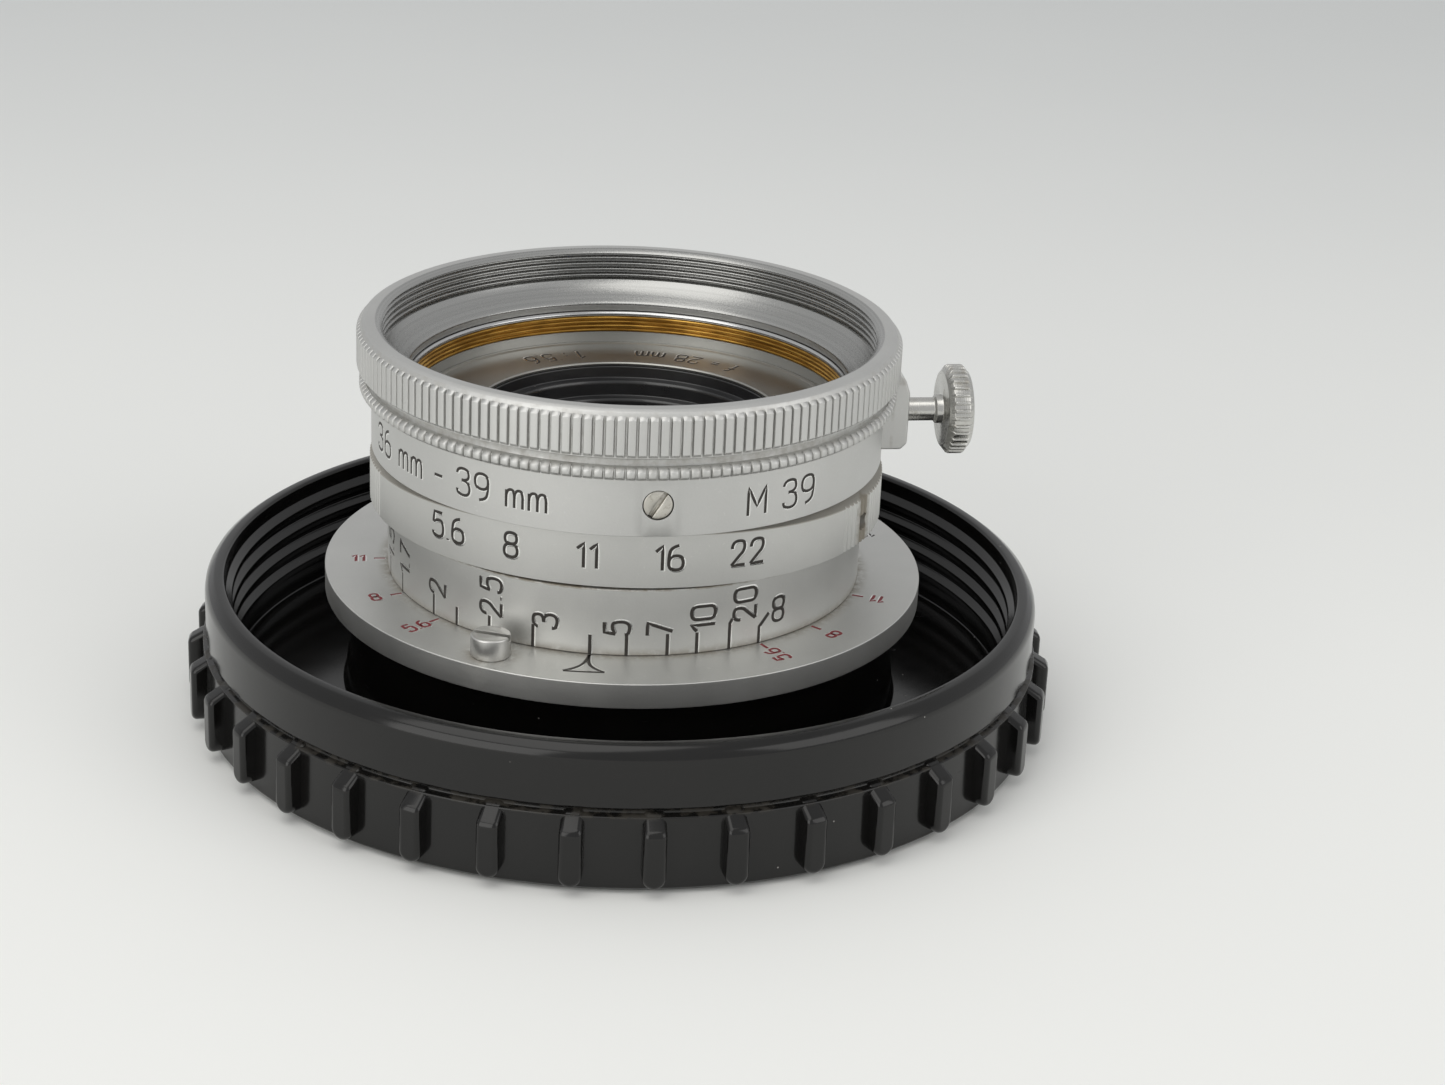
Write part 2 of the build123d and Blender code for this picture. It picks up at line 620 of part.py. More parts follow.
with BuildPart() as front_baffle:
    stairs = []
    for step in range(BAFFLE_STEPS):
        step_r = BAFFLE_MOUTH_R - step * STEP_IN
        step_z = BAFFLE_TOP - step * STEP_DROP
        stairs.append((step_r, step_z))
        stairs.append((step_r, step_z - STEP_DROP + 0.28))
        stairs.append((step_r - STEP_IN + 0.12, step_z - STEP_DROP + 0.2))
        stairs.append((step_r - STEP_IN + 0.12, step_z - STEP_DROP + 0.32))
        stairs.append((step_r - STEP_IN, step_z - STEP_DROP + 0.32))
    revolve(
        section(
            *stairs,
            (BAFFLE_THROAT_R, BAFFLE_TOP - BAFFLE_DEPTH),
            (BAFFLE_THROAT_R + 0.9, BAFFLE_TOP - BAFFLE_DEPTH),
            (BAFFLE_MOUTH_R + 1.0, BAFFLE_TOP - 0.9),
            (BAFFLE_MOUTH_R + 1.0, BAFFLE_TOP - 0.5),
            (BARREL_BORE_R - SEAT, BAFFLE_TOP - 0.5),
            (BARREL_BORE_R - SEAT, BAFFLE_TOP),
        ),
        axis=Axis.Z,
    )
finish(front_baffle.part, "front_baffle")

# ---- Focusing thread and the glass -----------------------------------------------------------
MALE_HELICOID_LOW = 9.6
LEDGE = 12.6
CELL_FLANGE_R = 15.15
CELL_FLANGE_TOP = 13.4
CELL_LOW = 3.1
CELL_TOP = 15.3
ARM_R_IN = 11.2
ARM_R_OUT = 12.2
ARM_WIDTH = 1.6
SLOT_RING_LOW = 9.95
SLOT_RING_TOP = 10.35

with BuildPart() as focusing_helicoid:
    male_turns = teeth(
        HELICOID_R - FIT - 0.35, HELICOID_R - FIT, MALE_HELICOID_LOW + 0.15, 0.8, 3
    )
    revolve(
        section(
            (14.9, MALE_HELICOID_LOW),
            (HELICOID_R - FIT - 0.35, MALE_HELICOID_LOW),
            *male_turns,
            (HELICOID_R - FIT - 0.35, BARREL_LOW - 0.1),
            (BARREL_BORE_R - SEAT, BARREL_LOW - 0.1),
            (BARREL_BORE_R - SEAT, 14.5),
            (CELL_FLANGE_R + 0.05, 14.5),
            (CELL_FLANGE_R + 0.05, LEDGE),
            (14.4, LEDGE),
            (14.4, LEDGE - 0.8),
            (14.9, LEDGE - 0.8),
        ),
        axis=Axis.Z,
    )
finish(focusing_helicoid.part, "focusing_helicoid")

with BuildPart() as cell_tube:
    revolve(
        section(
            (CELL_BORE_R, CELL_LOW),
            (CELL_R, CELL_LOW),
            (CELL_R, LEDGE),
            (CELL_FLANGE_R, LEDGE),
            (CELL_FLANGE_R, CELL_FLANGE_TOP),
            (CELL_R, CELL_FLANGE_TOP),
            (CELL_R, CELL_TOP),
            (CELL_BORE_R, CELL_TOP),
        ),
        axis=Axis.Z,
    )
    with BuildSketch(Plane.XY.offset(LEDGE - 0.5)):
        with BuildLine():
            slot_sweep = CenterArc((0, 0), (ARM_R_IN + ARM_R_OUT) / 2, 90 - SLOT_HALF_ANGLE,
                                   2 * SLOT_HALF_ANGLE)
        SlotArc(slot_sweep, ARM_R_OUT - ARM_R_IN + 0.4)
    extrude(amount=2, mode=Mode.SUBTRACT)
    with BuildSketch(Plane.XY.offset(SLOT_RING_LOW - 0.1)):
        with BuildLine():
            Polyline(
                (0, 0),
                (20 * sin(radians(SLOT_HALF_ANGLE)), 20 * cos(radians(SLOT_HALF_ANGLE))),
                (-20 * sin(radians(SLOT_HALF_ANGLE)), 20 * cos(radians(SLOT_HALF_ANGLE))),
                close=True,
            )
        make_face()
        Circle(CELL_R + 0.5, mode=Mode.INTERSECT)
    extrude(amount=SLOT_RING_TOP - SLOT_RING_LOW + 0.2, mode=Mode.SUBTRACT)
finish(cell_tube.part, "cell_tube")

with BuildPart() as cell_retaining_ring:
    revolve(
        section(
            (13.6, CELL_FLANGE_TOP),
            (CELL_FLANGE_R, CELL_FLANGE_TOP),
            (CELL_FLANGE_R, 14.2),
            (13.6, 14.2),
        ),
        axis=Axis.Z,
    )
    with BuildSketch(Plane.XY.offset(14.2)):
        with Locations((14.4, 0), (-14.4, 0)):
            Rectangle(2.4, 0.7)
    extrude(amount=-0.4, mode=Mode.SUBTRACT)
finish(cell_retaining_ring.part, "cell_retaining_ring")

# Six elements stand in four groups, mirrored about the iris: a meniscus and a cemented pair in
# each cell. A surface is its vertex height and its signed radius of curvature, whose centre
# lies that far above the vertex.
IRIS_PLANE = 9.2
PAIR_R = 4.3
MENISCUS_R = 4.9
CELL_SEAT = 10.55


def sag(vertex, curvature, radius):
    """Return the height of a spherical surface at a distance from the lens axis."""
    side = 1 if curvature > 0 else -1
    return vertex + curvature - side * (curvature**2 - radius**2) ** 0.5


def glass_outline(rim, low, high):
    """Return half the cross-section of an element between two (vertex, curvature) surfaces."""
    with BuildSketch(Plane.XZ) as outline:
        with BuildLine():
            ThreePointArc((0, low[0]), (rim / 2, sag(*low, rim / 2)), (rim, sag(*low, rim)))
            Line((rim, sag(*low, rim)), (rim, sag(*high, rim)))
            ThreePointArc((rim, sag(*high, rim)), (rim / 2, sag(*high, rim / 2)), (0, high[0]))
            Line((0, high[0]), (0, low[0]))
        make_face()
    return outline.sketch


with BuildPart() as front_element:
    revolve(glass_outline(MENISCUS_R, (13.5, -8.0), (15.0, -11.0)), axis=Axis.Z)
finish(front_element.part, "front_element")

with BuildPart() as front_pair_outer:
    revolve(glass_outline(PAIR_R, (11.92, -25.0), (13.1, -9.0)), axis=Axis.Z)
finish(front_pair_outer.part, "front_pair_outer")

with BuildPart() as front_pair_inner:
    revolve(glass_outline(PAIR_R, (11.3, -40.0), (11.9, -25.0)), axis=Axis.Z)
finish(front_pair_inner.part, "front_pair_inner")

with BuildPart() as front_cell:
    revolve(
        section(
            (3.9, CELL_SEAT),
            (CELL_BORE_R - SEAT, CELL_SEAT),
            (CELL_BORE_R - SEAT, CELL_TOP),
            (6.1, CELL_TOP),
            (5.65, CELL_TOP - 0.4),
            (5.65, 13.95),
            (MENISCUS_R + SEAT, 13.95),
            (MENISCUS_R + SEAT, 11.78),
            (PAIR_R + SEAT, 11.78),
            (PAIR_R + SEAT, 11.04),
            (3.9, 11.04),
        ),
        axis=Axis.Z,
    )
finish(front_cell.part, "front_cell")

with BuildPart() as front_retaining_ring:
    revolve(
        section((4.5, 14.12), (5.63, 14.12), (5.63, 14.75), (4.7, 14.75), (4.5, 14.5)),
        axis=Axis.Z,
    )
    with BuildSketch(Plane.XY.offset(14.75)):
        with Locations((5.2, 0), (-5.2, 0)):
            Rectangle(1.6, 0.5)
    extrude(amount=-0.3, mode=Mode.SUBTRACT)
finish(front_retaining_ring.part, "front_retaining_ring")

REAR_MIRROR = Plane.XY.offset(IRIS_PLANE)
REAR_COPIES = {
    "rear_element": front_element,
    "rear_pair_outer": front_pair_outer,
    "rear_pair_inner": front_pair_inner,
    "rear_cell": front_cell,
    "rear_retaining_ring": front_retaining_ring,
}
for copy_name, original in REAR_COPIES.items():
    with BuildPart() as rear_copy:
        mirror(original.part, about=REAR_MIRROR)
    finish(rear_copy.part, copy_name)

# ---- Iris --------------------------------------------------------------------------------------
# Each blade is a thin crescent, tilted so that it rises from its pivot over the next blades to
# its drive pin, which stands in a slot of the slot ring. Closing turns the ring clockwise.
BLADE_RATIO = 0.3221    # blade turn for each degree of ring turn
BLADE_REST = 17.7       # blade turn from the reference circle at f/11
BLADE_INNER_R = 3.0
BLADE_OUTER_R = 6.4
PIVOT_R = 4.7
BLADE_SPAN = 140.0
BLADE_END = 8.0
BLADE_THICK = 0.04
BLADE_RISE = 0.1        # rise per millimetre along the blade
BLADE_PIVOT_HEIGHT = 8.62
PIN_HOLE_R = 0.28
BLADE_PIN_R = 0.24


def swung(x, y, turn):
    """Turn a point of blade 0 clockwise about its pivot."""
    dx = x - PIVOT_R
    return (
        PIVOT_R + dx * cos(radians(turn)) + y * sin(radians(turn)),
        y * cos(radians(turn)) - dx * sin(radians(turn)),
    )


def drive_pin(ring_turn):
    """Return blade 0's drive pin in the slot ring's own frame for a turn of the ring."""
    x, y = swung(
        PIVOT_R * cos(radians(BLADE_SPAN)),
        -PIVOT_R * sin(radians(BLADE_SPAN)),
        BLADE_REST - BLADE_RATIO * ring_turn,
    )
    turn = radians(-ring_turn)
    return (x * cos(turn) - y * sin(turn), x * sin(turn) + y * cos(turn))


with BuildPart() as iris_base_plate:
    revolve(
        section(
            (BLADE_INNER_R, 8.0),
            (CELL_BORE_R - SEAT, 8.0),
            (CELL_BORE_R - SEAT, 8.4),
            (BLADE_INNER_R, 8.4),
        ),
        axis=Axis.Z,
    )
    with BuildSketch(Plane.XY.offset(8.0)):
        with PolarLocations(PIVOT_R, BLADES):
            Circle(PIN_HOLE_R)
    extrude(amount=0.4, mode=Mode.SUBTRACT)
finish(iris_base_plate.part, "iris_base_plate")

PIN_X, PIN_Y = drive_pin(0)
BLADE_RUN = ((PIN_X - PIVOT_R) ** 2 + PIN_Y**2) ** 0.5
BLADE_PLANE = Plane(
    origin=(PIVOT_R, 0, BLADE_PIVOT_HEIGHT),
    x_dir=(-PIN_Y, PIN_X - PIVOT_R, 0),
    z_dir=(
        -BLADE_RISE * (PIN_X - PIVOT_R) / BLADE_RUN,
        -BLADE_RISE * PIN_Y / BLADE_RUN,
        1,
    ),
)

with BuildPart() as blade:
    with BuildSketch(Plane.XY.offset(8.2)):
        with BuildLine():
            centre = swung(0, 0, BLADE_REST)
            first = BLADE_END - BLADE_REST
            sweep_angle = -BLADE_SPAN - 2 * BLADE_END
            outer_edge = CenterArc(centre, BLADE_OUTER_R, first, sweep_angle)
            inner_edge = CenterArc(centre, BLADE_INNER_R, first, sweep_angle)
            Line(outer_edge @ 0, inner_edge @ 0)
            Line(outer_edge @ 1, inner_edge @ 1)
        make_face()
    extrude(amount=1.6)
    with BuildSketch(BLADE_PLANE):
        Rectangle(40, 40)
    extrude(amount=BLADE_THICK, mode=Mode.INTERSECT)
    with BuildSketch(Plane.XY.offset(8.05)):
        with Locations((PIVOT_R, 0)):
            Circle(BLADE_PIN_R)
    extrude(amount=BLADE_PIVOT_HEIGHT + BLADE_THICK - 8.05)
    with BuildSketch(Plane.XY.offset(BLADE_PIVOT_HEIGHT + BLADE_RISE * BLADE_RUN)):
        with Locations((PIN_X, PIN_Y)):
            Circle(BLADE_PIN_R)
    extrude(amount=SLOT_RING_TOP - 0.05 - BLADE_PIVOT_HEIGHT - BLADE_RISE * BLADE_RUN)
for number in range(BLADES):
    placed_blade = blade.part.rotate(Axis.Z, number * 360 / BLADES)
    finish(placed_blade, f"iris_blade_{number + 1}")

with BuildPart() as iris_slot_ring:
    revolve(
        section(
            (BLADE_INNER_R + 0.2, SLOT_RING_LOW),
            (CELL_BORE_R - FIT, SLOT_RING_LOW),
            (CELL_BORE_R - FIT, SLOT_RING_TOP),
            (BLADE_INNER_R + 0.2, SLOT_RING_TOP),
        ),
        axis=Axis.Z,
    )
    slot_stops = [
        drive_pin(APERTURE_OPEN - step * (APERTURE_OPEN + APERTURE_CLOSE) / 6) for step in range(7)
    ]
    with BuildSketch(Plane.XY.offset(SLOT_RING_LOW)) as slots:
        with BuildLine():
            Spline(*slot_stops)
        trace(line_width=2 * PIN_HOLE_R + 0.1)
        with Locations(slot_stops[0], slot_stops[-1]):
            Circle(PIN_HOLE_R + 0.05)
    for number in range(BLADES):
        extrude(
            slots.sketch.rotate(Axis.Z, number * 360 / BLADES),
            amount=SLOT_RING_TOP - SLOT_RING_LOW,
            mode=Mode.SUBTRACT,
        )
    with BuildSketch(Plane.XY.offset(SLOT_RING_LOW)):
        with Locations((0, 8.9)):
            Rectangle(ARM_WIDTH + 0.04, 2.0)
    extrude(amount=1, mode=Mode.SUBTRACT)
finish(iris_slot_ring.part, "iris_slot_ring")

with BuildPart() as iris_drive_arm:
    with BuildSketch(Plane.YZ.offset(-ARM_WIDTH / 2)):
        with BuildLine():
            Polyline(
                (7.95, SLOT_RING_LOW),
                (ARM_R_OUT, SLOT_RING_LOW),
                (ARM_R_OUT, IRIS_PIN_HEIGHT - 0.65),
                (15.8, IRIS_PIN_HEIGHT - 0.65),
                (15.8, IRIS_PIN_HEIGHT + 0.65),
                (ARM_R_IN, IRIS_PIN_HEIGHT + 0.65),
                (ARM_R_IN, SLOT_RING_TOP),
                (7.95, SLOT_RING_TOP),
                close=True,
            )
        make_face()
    extrude(amount=ARM_WIDTH)
    with BuildSketch(radial(IRIS_PIN_ANGLE, 15.2, IRIS_PIN_HEIGHT)):
        Circle(0.4)
    extrude(amount=1, mode=Mode.SUBTRACT)
finish(iris_drive_arm.part, "iris_drive_arm")

with BuildPart() as iris_drive_screw:
    with BuildSketch(radial(IRIS_PIN_ANGLE, 15.3, IRIS_PIN_HEIGHT)):
        Circle(0.38)
    extrude(amount=0.55)
    with BuildSketch(radial(IRIS_PIN_ANGLE, 15.85, IRIS_PIN_HEIGHT)):
        Circle(0.55)
    extrude(amount=2.4)
finish(iris_drive_screw.part, "iris_drive_screw")

# ---- Aperture ring ------------------------------------------------------------------------------
# An oval ring whose two finely ribbed ends stand out as grips, with its top turned to a cone.
EAR_HALF_ANGLE = 26.0
EAR_RIB_STEP = 1.75
EAR_SCREW_ANGLES = (-22.0, 158.0)
EAR_SCREW_HEIGHT = 19.25
EAR_SCREW_R = 0.7

with BuildPart() as aperture_ring:
    revolve(
        section(
            (BARREL_R + FIT, RING_BOTTOM),
            (RING_LONG_R + 0.5, RING_BOTTOM),
            (RING_LONG_R + 0.5, 20.85),
            (RING_SHORT_R - 0.2, RING_TOP),
            (BARREL_R + FIT, RING_TOP),
        ),
        axis=Axis.Z,
    )
    with BuildSketch(flat(RING_EAR_ANGLE, 0, RING_BOTTOM)):
        Ellipse(RING_LONG_R, RING_SHORT_R)
    extrude(amount=6, mode=Mode.INTERSECT)
    ear_rib_count = int(2 * EAR_HALF_ANGLE / EAR_RIB_STEP)
    with BuildSketch(Plane.XY.offset(RING_BOTTOM)):
        for side in (0, 180):
            for rib in range(ear_rib_count + 1):
                off = (rib - ear_rib_count / 2) * EAR_RIB_STEP
                edge_r = 1 / (
                    (cos(radians(off)) / RING_LONG_R) ** 2 + (sin(radians(off)) / RING_SHORT_R) ** 2
                ) ** 0.5
                with Locations(flat(RING_EAR_ANGLE + side + off, edge_r, 0).location):
                    with Locations(Location((0.06, 0), 45)):
                        Rectangle(0.36, 0.36)
    extrude(amount=6, mode=Mode.SUBTRACT)
    for screw_angle in EAR_SCREW_ANGLES:
        with BuildSketch(radial(screw_angle, BARREL_R + 0.1, EAR_SCREW_HEIGHT)):
            Circle(EAR_SCREW_R)
        extrude(amount=4, mode=Mode.SUBTRACT)
    with BuildSketch(radial(IRIS_PIN_ANGLE, BARREL_R - 0.5, IRIS_PIN_HEIGHT)):
        Circle(0.57)
    extrude(amount=1.25, mode=Mode.SUBTRACT)
finish(aperture_ring.part, "aperture_ring")

with BuildPart() as ring_grub_screws:
    for screw_angle in EAR_SCREW_ANGLES:
        with BuildSketch(radial(screw_angle, BARREL_R + FIT + 0.08, EAR_SCREW_HEIGHT)):
            Circle(EAR_SCREW_R - SEAT)
        extrude(amount=1.6)
        with BuildSketch(radial(screw_angle, BARREL_R + FIT + 1.68, EAR_SCREW_HEIGHT)):
            Rectangle(0.26, 2)
        extrude(amount=-0.4, mode=Mode.SUBTRACT)
finish(ring_grub_screws.part, "ring_grub_screws")

# ---- Filter adapter --------------------------------------------------------------------------------
# A turned ring that pushes over the 36 mm seat. A thumb screw in its lug presses a spring band
# against the seat, and a slotted screw holds the band's other end.
WIDE_KNURL_LOW = 28.6
NARROW_KNURL_LOW = 26.95
NARROW_KNURL_TOP = 27.75
NARROW_KNURL_R = 21.2
GROOVE_R = 20.45
LIP_R = 17.45
LIP_LOW = RIM_TOP + 0.06
FILTER_THREAD_LOW = 29.8
LUG_FACE_R = 22.2
LUG_WIDTH = 5.6
SCREW_HEIGHT = 24.75
SHANK_R = 0.94
BAND_LOW = 22.95
BAND_TOP = 26.45
BAND_IN_R = 18.1
BAND_OUT_R = 18.5
BAND_RECESS_R = 18.98
BAND_START = -86.0
BAND_STOP = 26.0
PAD_R = 1.1
SET_SCREW_HEIGHT = 24.68
SET_SCREW_R = 1.1
KNURL_DEPTH = 0.28


def wedge(start, stop, radius, height):
    """Return a flat sector between two angles about Z, as a cutter outline."""
    with BuildSketch(Plane.XY.offset(height)) as sector:
        with BuildLine():
            rim = CenterArc((0, 0), radius, start, stop - start)
            Line((0, 0), rim @ 0)
            Line((0, 0), rim @ 1)
        make_face()
    return sector.sketch


with BuildPart() as filter_adapter:
    filter_turns = teeth(
        FILTER_THREAD_R + 0.3, FILTER_THREAD_R, FILTER_THREAD_LOW, FILTER_PITCH, 5
    )
    revolve(
        section(
            (SEAT_R + FIT + 0.2, ADAPTER_BOTTOM),
            (ADAPTER_SKIRT_R - 0.2, ADAPTER_BOTTOM),
            (ADAPTER_SKIRT_R, ADAPTER_BOTTOM + 0.2),
            (ADAPTER_SKIRT_R, NARROW_KNURL_LOW - 0.1),
            (NARROW_KNURL_R - 0.25, NARROW_KNURL_LOW),
            (NARROW_KNURL_R, NARROW_KNURL_LOW + 0.2),
            (NARROW_KNURL_R, NARROW_KNURL_TOP - 0.2),
            (NARROW_KNURL_R - 0.25, NARROW_KNURL_TOP),
            (GROOVE_R, NARROW_KNURL_TOP + 0.05),
            (GROOVE_R, WIDE_KNURL_LOW - 0.25),
            (ADAPTER_KNURL_R - 0.2, WIDE_KNURL_LOW),
            (ADAPTER_KNURL_R, WIDE_KNURL_LOW + 0.2),
            (ADAPTER_KNURL_R, ADAPTER_TOP - 0.75),
            (ADAPTER_KNURL_R - 0.3, ADAPTER_TOP - 0.4),
            (ADAPTER_KNURL_R - 0.45, ADAPTER_TOP - 0.15),
            (ADAPTER_KNURL_R - 0.8, ADAPTER_TOP),
            (FILTER_THREAD_R + 0.45, ADAPTER_TOP),
            (FILTER_THREAD_R + 0.3, FILTER_THREAD_LOW + 5 * FILTER_PITCH - 0.05),
            *reversed(filter_turns[:-1]),
            (FILTER_THREAD_R - 0.1, FILTER_THREAD_LOW - 0.1),
            (19.0, 29.2),
            (18.2, 28.6),
            (LIP_R + 0.15, 28.3),
            (LIP_R, 28.15),
            (LIP_R, LIP_LOW),
            (SEAT_R + FIT, LIP_LOW),
            (SEAT_R + FIT, ADAPTER_BOTTOM + 0.2),
        ),
        axis=Axis.Z,
    )
    with BuildSketch(Plane.XY.offset(NARROW_KNURL_LOW - 0.3)):
        with PolarLocations(ADAPTER_KNURL_R, KNURL_RIBS, start_angle=CLAMP_ANGLE):
            Trapezoid(0.56, KNURL_DEPTH * 2, 70, rotation=90)
    extrude(amount=ADAPTER_TOP - NARROW_KNURL_LOW + 0.3, mode=Mode.SUBTRACT)
    with BuildSketch(upright(CLAMP_ANGLE)):
        with BuildLine():
            Polyline(
                (19.4, ADAPTER_BOTTOM + 0.1),
                (LUG_FACE_R - 0.5, ADAPTER_BOTTOM + 0.1),
                (LUG_FACE_R, ADAPTER_BOTTOM + 0.6),
                (LUG_FACE_R, 27.0),
                (LUG_FACE_R - 0.35, 28.0),
                (ADAPTER_KNURL_R - 0.1, 28.9),
                (19.9, 28.9),
                (19.4, 28.0),
                close=True,
            )
        make_face()
    extrude(amount=LUG_WIDTH / 2, both=True)
    extrude(
        wedge(BAND_START - 3, BAND_STOP + 3, BAND_RECESS_R, BAND_LOW - 0.05),
        amount=BAND_TOP - BAND_LOW + 0.1,
        mode=Mode.SUBTRACT,
    )
    with BuildSketch(radial(CLAMP_ANGLE, SEAT_R, SCREW_HEIGHT)):
        Circle(PAD_R + FIT)
    extrude(amount=19.45 - SEAT_R, mode=Mode.SUBTRACT)
    with BuildSketch(radial(CLAMP_ANGLE, SEAT_R, SCREW_HEIGHT)):
        Circle(SHANK_R + FIT)
    extrude(amount=6, mode=Mode.SUBTRACT)
    with BuildSketch(radial(SET_SCREW_ANGLE, SEAT_R, SET_SCREW_HEIGHT)):
        Circle(SET_SCREW_R + 0.06)
    extrude(amount=4, mode=Mode.SUBTRACT)
finish(filter_adapter.part, "filter_adapter")

with BuildPart() as adapter_set_screw:
    with BuildSketch(radial(SET_SCREW_ANGLE, BAND_OUT_R + 0.03, SET_SCREW_HEIGHT)):
        Circle(SET_SCREW_R)
    extrude(amount=ADAPTER_SKIRT_R - 0.07 - BAND_OUT_R - 0.03)
    with BuildSketch(radial(SET_SCREW_ANGLE, ADAPTER_SKIRT_R - 0.07, SET_SCREW_HEIGHT)):
        Rectangle(3, 0.34, rotation=-58)
    extrude(amount=-0.35, mode=Mode.SUBTRACT)
finish(adapter_set_screw.part, "adapter_set_screw")

with BuildPart() as clamp_band:
    revolve(
        section(
            (BAND_IN_R, BAND_LOW),
            (BAND_OUT_R, BAND_LOW),
            (BAND_OUT_R, BAND_TOP),
            (BAND_IN_R, BAND_TOP),
        ),
        axis=Axis.Z,
    )
    extrude(wedge(BAND_START, BAND_STOP, 30, BAND_LOW - 1), amount=8, mode=Mode.INTERSECT)
finish(clamp_band.part, "clamp_band")

PAD_FACE = BAND_OUT_R + 0.04
PAD_BACK = PAD_FACE + 0.42

with BuildPart() as pressure_pad:
    with BuildSketch(radial(CLAMP_ANGLE, PAD_FACE, SCREW_HEIGHT)):
        Circle(PAD_R)
    extrude(amount=PAD_BACK - PAD_FACE)
finish(pressure_pad.part, "pressure_pad")

# The thumb screw: a plain shank and a thick disc with straight ribs and bevelled edges.
HEAD_FACE = 25.45
HEAD_THICK = 2.05
HEAD_R = 3.6
HEAD_RIBS = 34
NECK_R = 1.15

with BuildPart() as clamp_screw:
    with BuildSketch(radial(CLAMP_ANGLE, HEAD_FACE, SCREW_HEIGHT)):
        Circle(HEAD_R)
    extrude(amount=HEAD_THICK)
    chamfer(clamp_screw.edges().filter_by(GeomType.CIRCLE), 0.4)
    with BuildSketch(radial(CLAMP_ANGLE, HEAD_FACE - 0.1, SCREW_HEIGHT)):
        with PolarLocations(HEAD_R + 0.05, HEAD_RIBS):
            Rectangle(0.36, 0.36, rotation=45)
    extrude(amount=HEAD_THICK + 0.2, mode=Mode.SUBTRACT)
    with BuildSketch(radial(CLAMP_ANGLE, PAD_BACK + 0.02, SCREW_HEIGHT)):
        Circle(SHANK_R)
    extrude(amount=HEAD_FACE - PAD_BACK - 0.02)
    with BuildSketch(radial(CLAMP_ANGLE, HEAD_FACE - 0.7, SCREW_HEIGHT)):
        Circle(NECK_R)
    extrude(amount=0.8)
finish(clamp_screw.part, "clamp_screw")
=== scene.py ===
from math import cos, degrees, hypot, pi, radians, sin, tau

import bmesh
import bpy
from mathutils import Matrix, Vector


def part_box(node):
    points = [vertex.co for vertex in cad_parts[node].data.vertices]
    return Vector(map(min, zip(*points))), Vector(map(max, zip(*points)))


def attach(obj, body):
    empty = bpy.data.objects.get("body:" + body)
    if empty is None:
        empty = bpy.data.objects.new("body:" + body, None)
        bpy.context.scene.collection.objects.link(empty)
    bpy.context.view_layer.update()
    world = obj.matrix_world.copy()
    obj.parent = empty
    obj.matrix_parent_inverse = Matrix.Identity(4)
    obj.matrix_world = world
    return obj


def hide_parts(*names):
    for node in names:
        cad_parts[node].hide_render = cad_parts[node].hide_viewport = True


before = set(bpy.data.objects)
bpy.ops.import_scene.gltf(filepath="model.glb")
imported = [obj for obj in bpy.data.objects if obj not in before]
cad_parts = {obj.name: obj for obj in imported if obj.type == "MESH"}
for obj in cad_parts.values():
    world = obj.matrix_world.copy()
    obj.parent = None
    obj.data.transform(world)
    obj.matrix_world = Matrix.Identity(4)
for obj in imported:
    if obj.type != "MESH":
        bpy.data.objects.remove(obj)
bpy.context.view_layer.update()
MM = 0.001

# ---- Camera -------------------------------------------------------------------------------
# A short telephoto lens, a quarter of a metre in front of the object and looking down on it.
# The Standard view keeps the deep blacks of the resin and the clean whites of the table.
CAMERA_PLACE = (7.98, -214.80, 101.45)
CAMERA_DOWN = 22.19
CAMERA_ROLL = 2.62
CAMERA_LENS = 71.4
bpy.ops.object.camera_add(location=[side * MM for side in CAMERA_PLACE])
camera = bpy.context.object
camera.rotation_mode = "ZYX"
camera.rotation_euler = (radians(90 - CAMERA_DOWN), 0, radians(CAMERA_ROLL))
camera.data.sensor_width = 36
camera.data.lens = CAMERA_LENS
camera.data.clip_start = 0.01
bpy.context.scene.camera = camera
bpy.context.scene.view_settings.view_transform = "Standard"


# ---- Table and light ----------------------------------------------------------------------
# A pale matt table that runs far back, in a bright room with three wide soft boxes: one
# overhead, one in front on the left and a weaker one on the right.
class Wire:
    """A value on its way between shader nodes. Arithmetic on wires adds Math nodes."""

    def __init__(self, socket):
        self.socket = socket

    def node(self, kind, settings=None, sockets=None, output=0):
        """Add a node of any kind: its settings first, then its sockets' values or wires."""
        tree = self.socket.id_data
        made = tree.nodes.new(kind)
        for name, value in (settings or {}).items():
            setattr(made, name, value)
        for name, value in (sockets or {}).items():
            if isinstance(value, Wire):
                tree.links.new(value.socket, made.inputs[name])
            else:
                made.inputs[name].default_value = value
        return Wire(made.outputs[output])

    def math(self, operation, first, second=0.0):
        return self.node("ShaderNodeMath", {"operation": operation}, {0: first, 1: second})

    def __add__(self, other):
        return self.math("ADD", self, other)

    def __sub__(self, other):
        return self.math("SUBTRACT", self, other)

    def __rsub__(self, other):
        return self.math("SUBTRACT", other, self)

    def __mul__(self, other):
        return self.math("MULTIPLY", self, other)

    def __truediv__(self, other):
        return self.math("DIVIDE", self, other)

    def __pow__(self, other):
        return self.math("POWER", self, other)

    __radd__ = __add__
    __rmul__ = __mul__


def coordinate(place, axis):
    """Return a place's X, Y or Z in metres, for axis 0, 1 or 2."""
    return place.node("ShaderNodeSeparateXYZ", {}, {0: place}, axis)


def noise(place, size, detail=2.0, roughness=0.5):
    """Return a cloudy value from 0 to 1, whose blobs are about size millimetres wide."""
    return place.node(
        "ShaderNodeTexNoise",
        {},
        {"Vector": place, "Scale": 1 / (size * MM), "Detail": detail, "Roughness": roughness},
    )


def ease(value, low, high):
    """Return a value that climbs smoothly from 0 at low to 1 at high."""
    return value.node(
        "ShaderNodeMapRange",
        {"interpolation_type": "SMOOTHSTEP"},
        {"Value": value, "From Min": low, "From Max": high},
    )


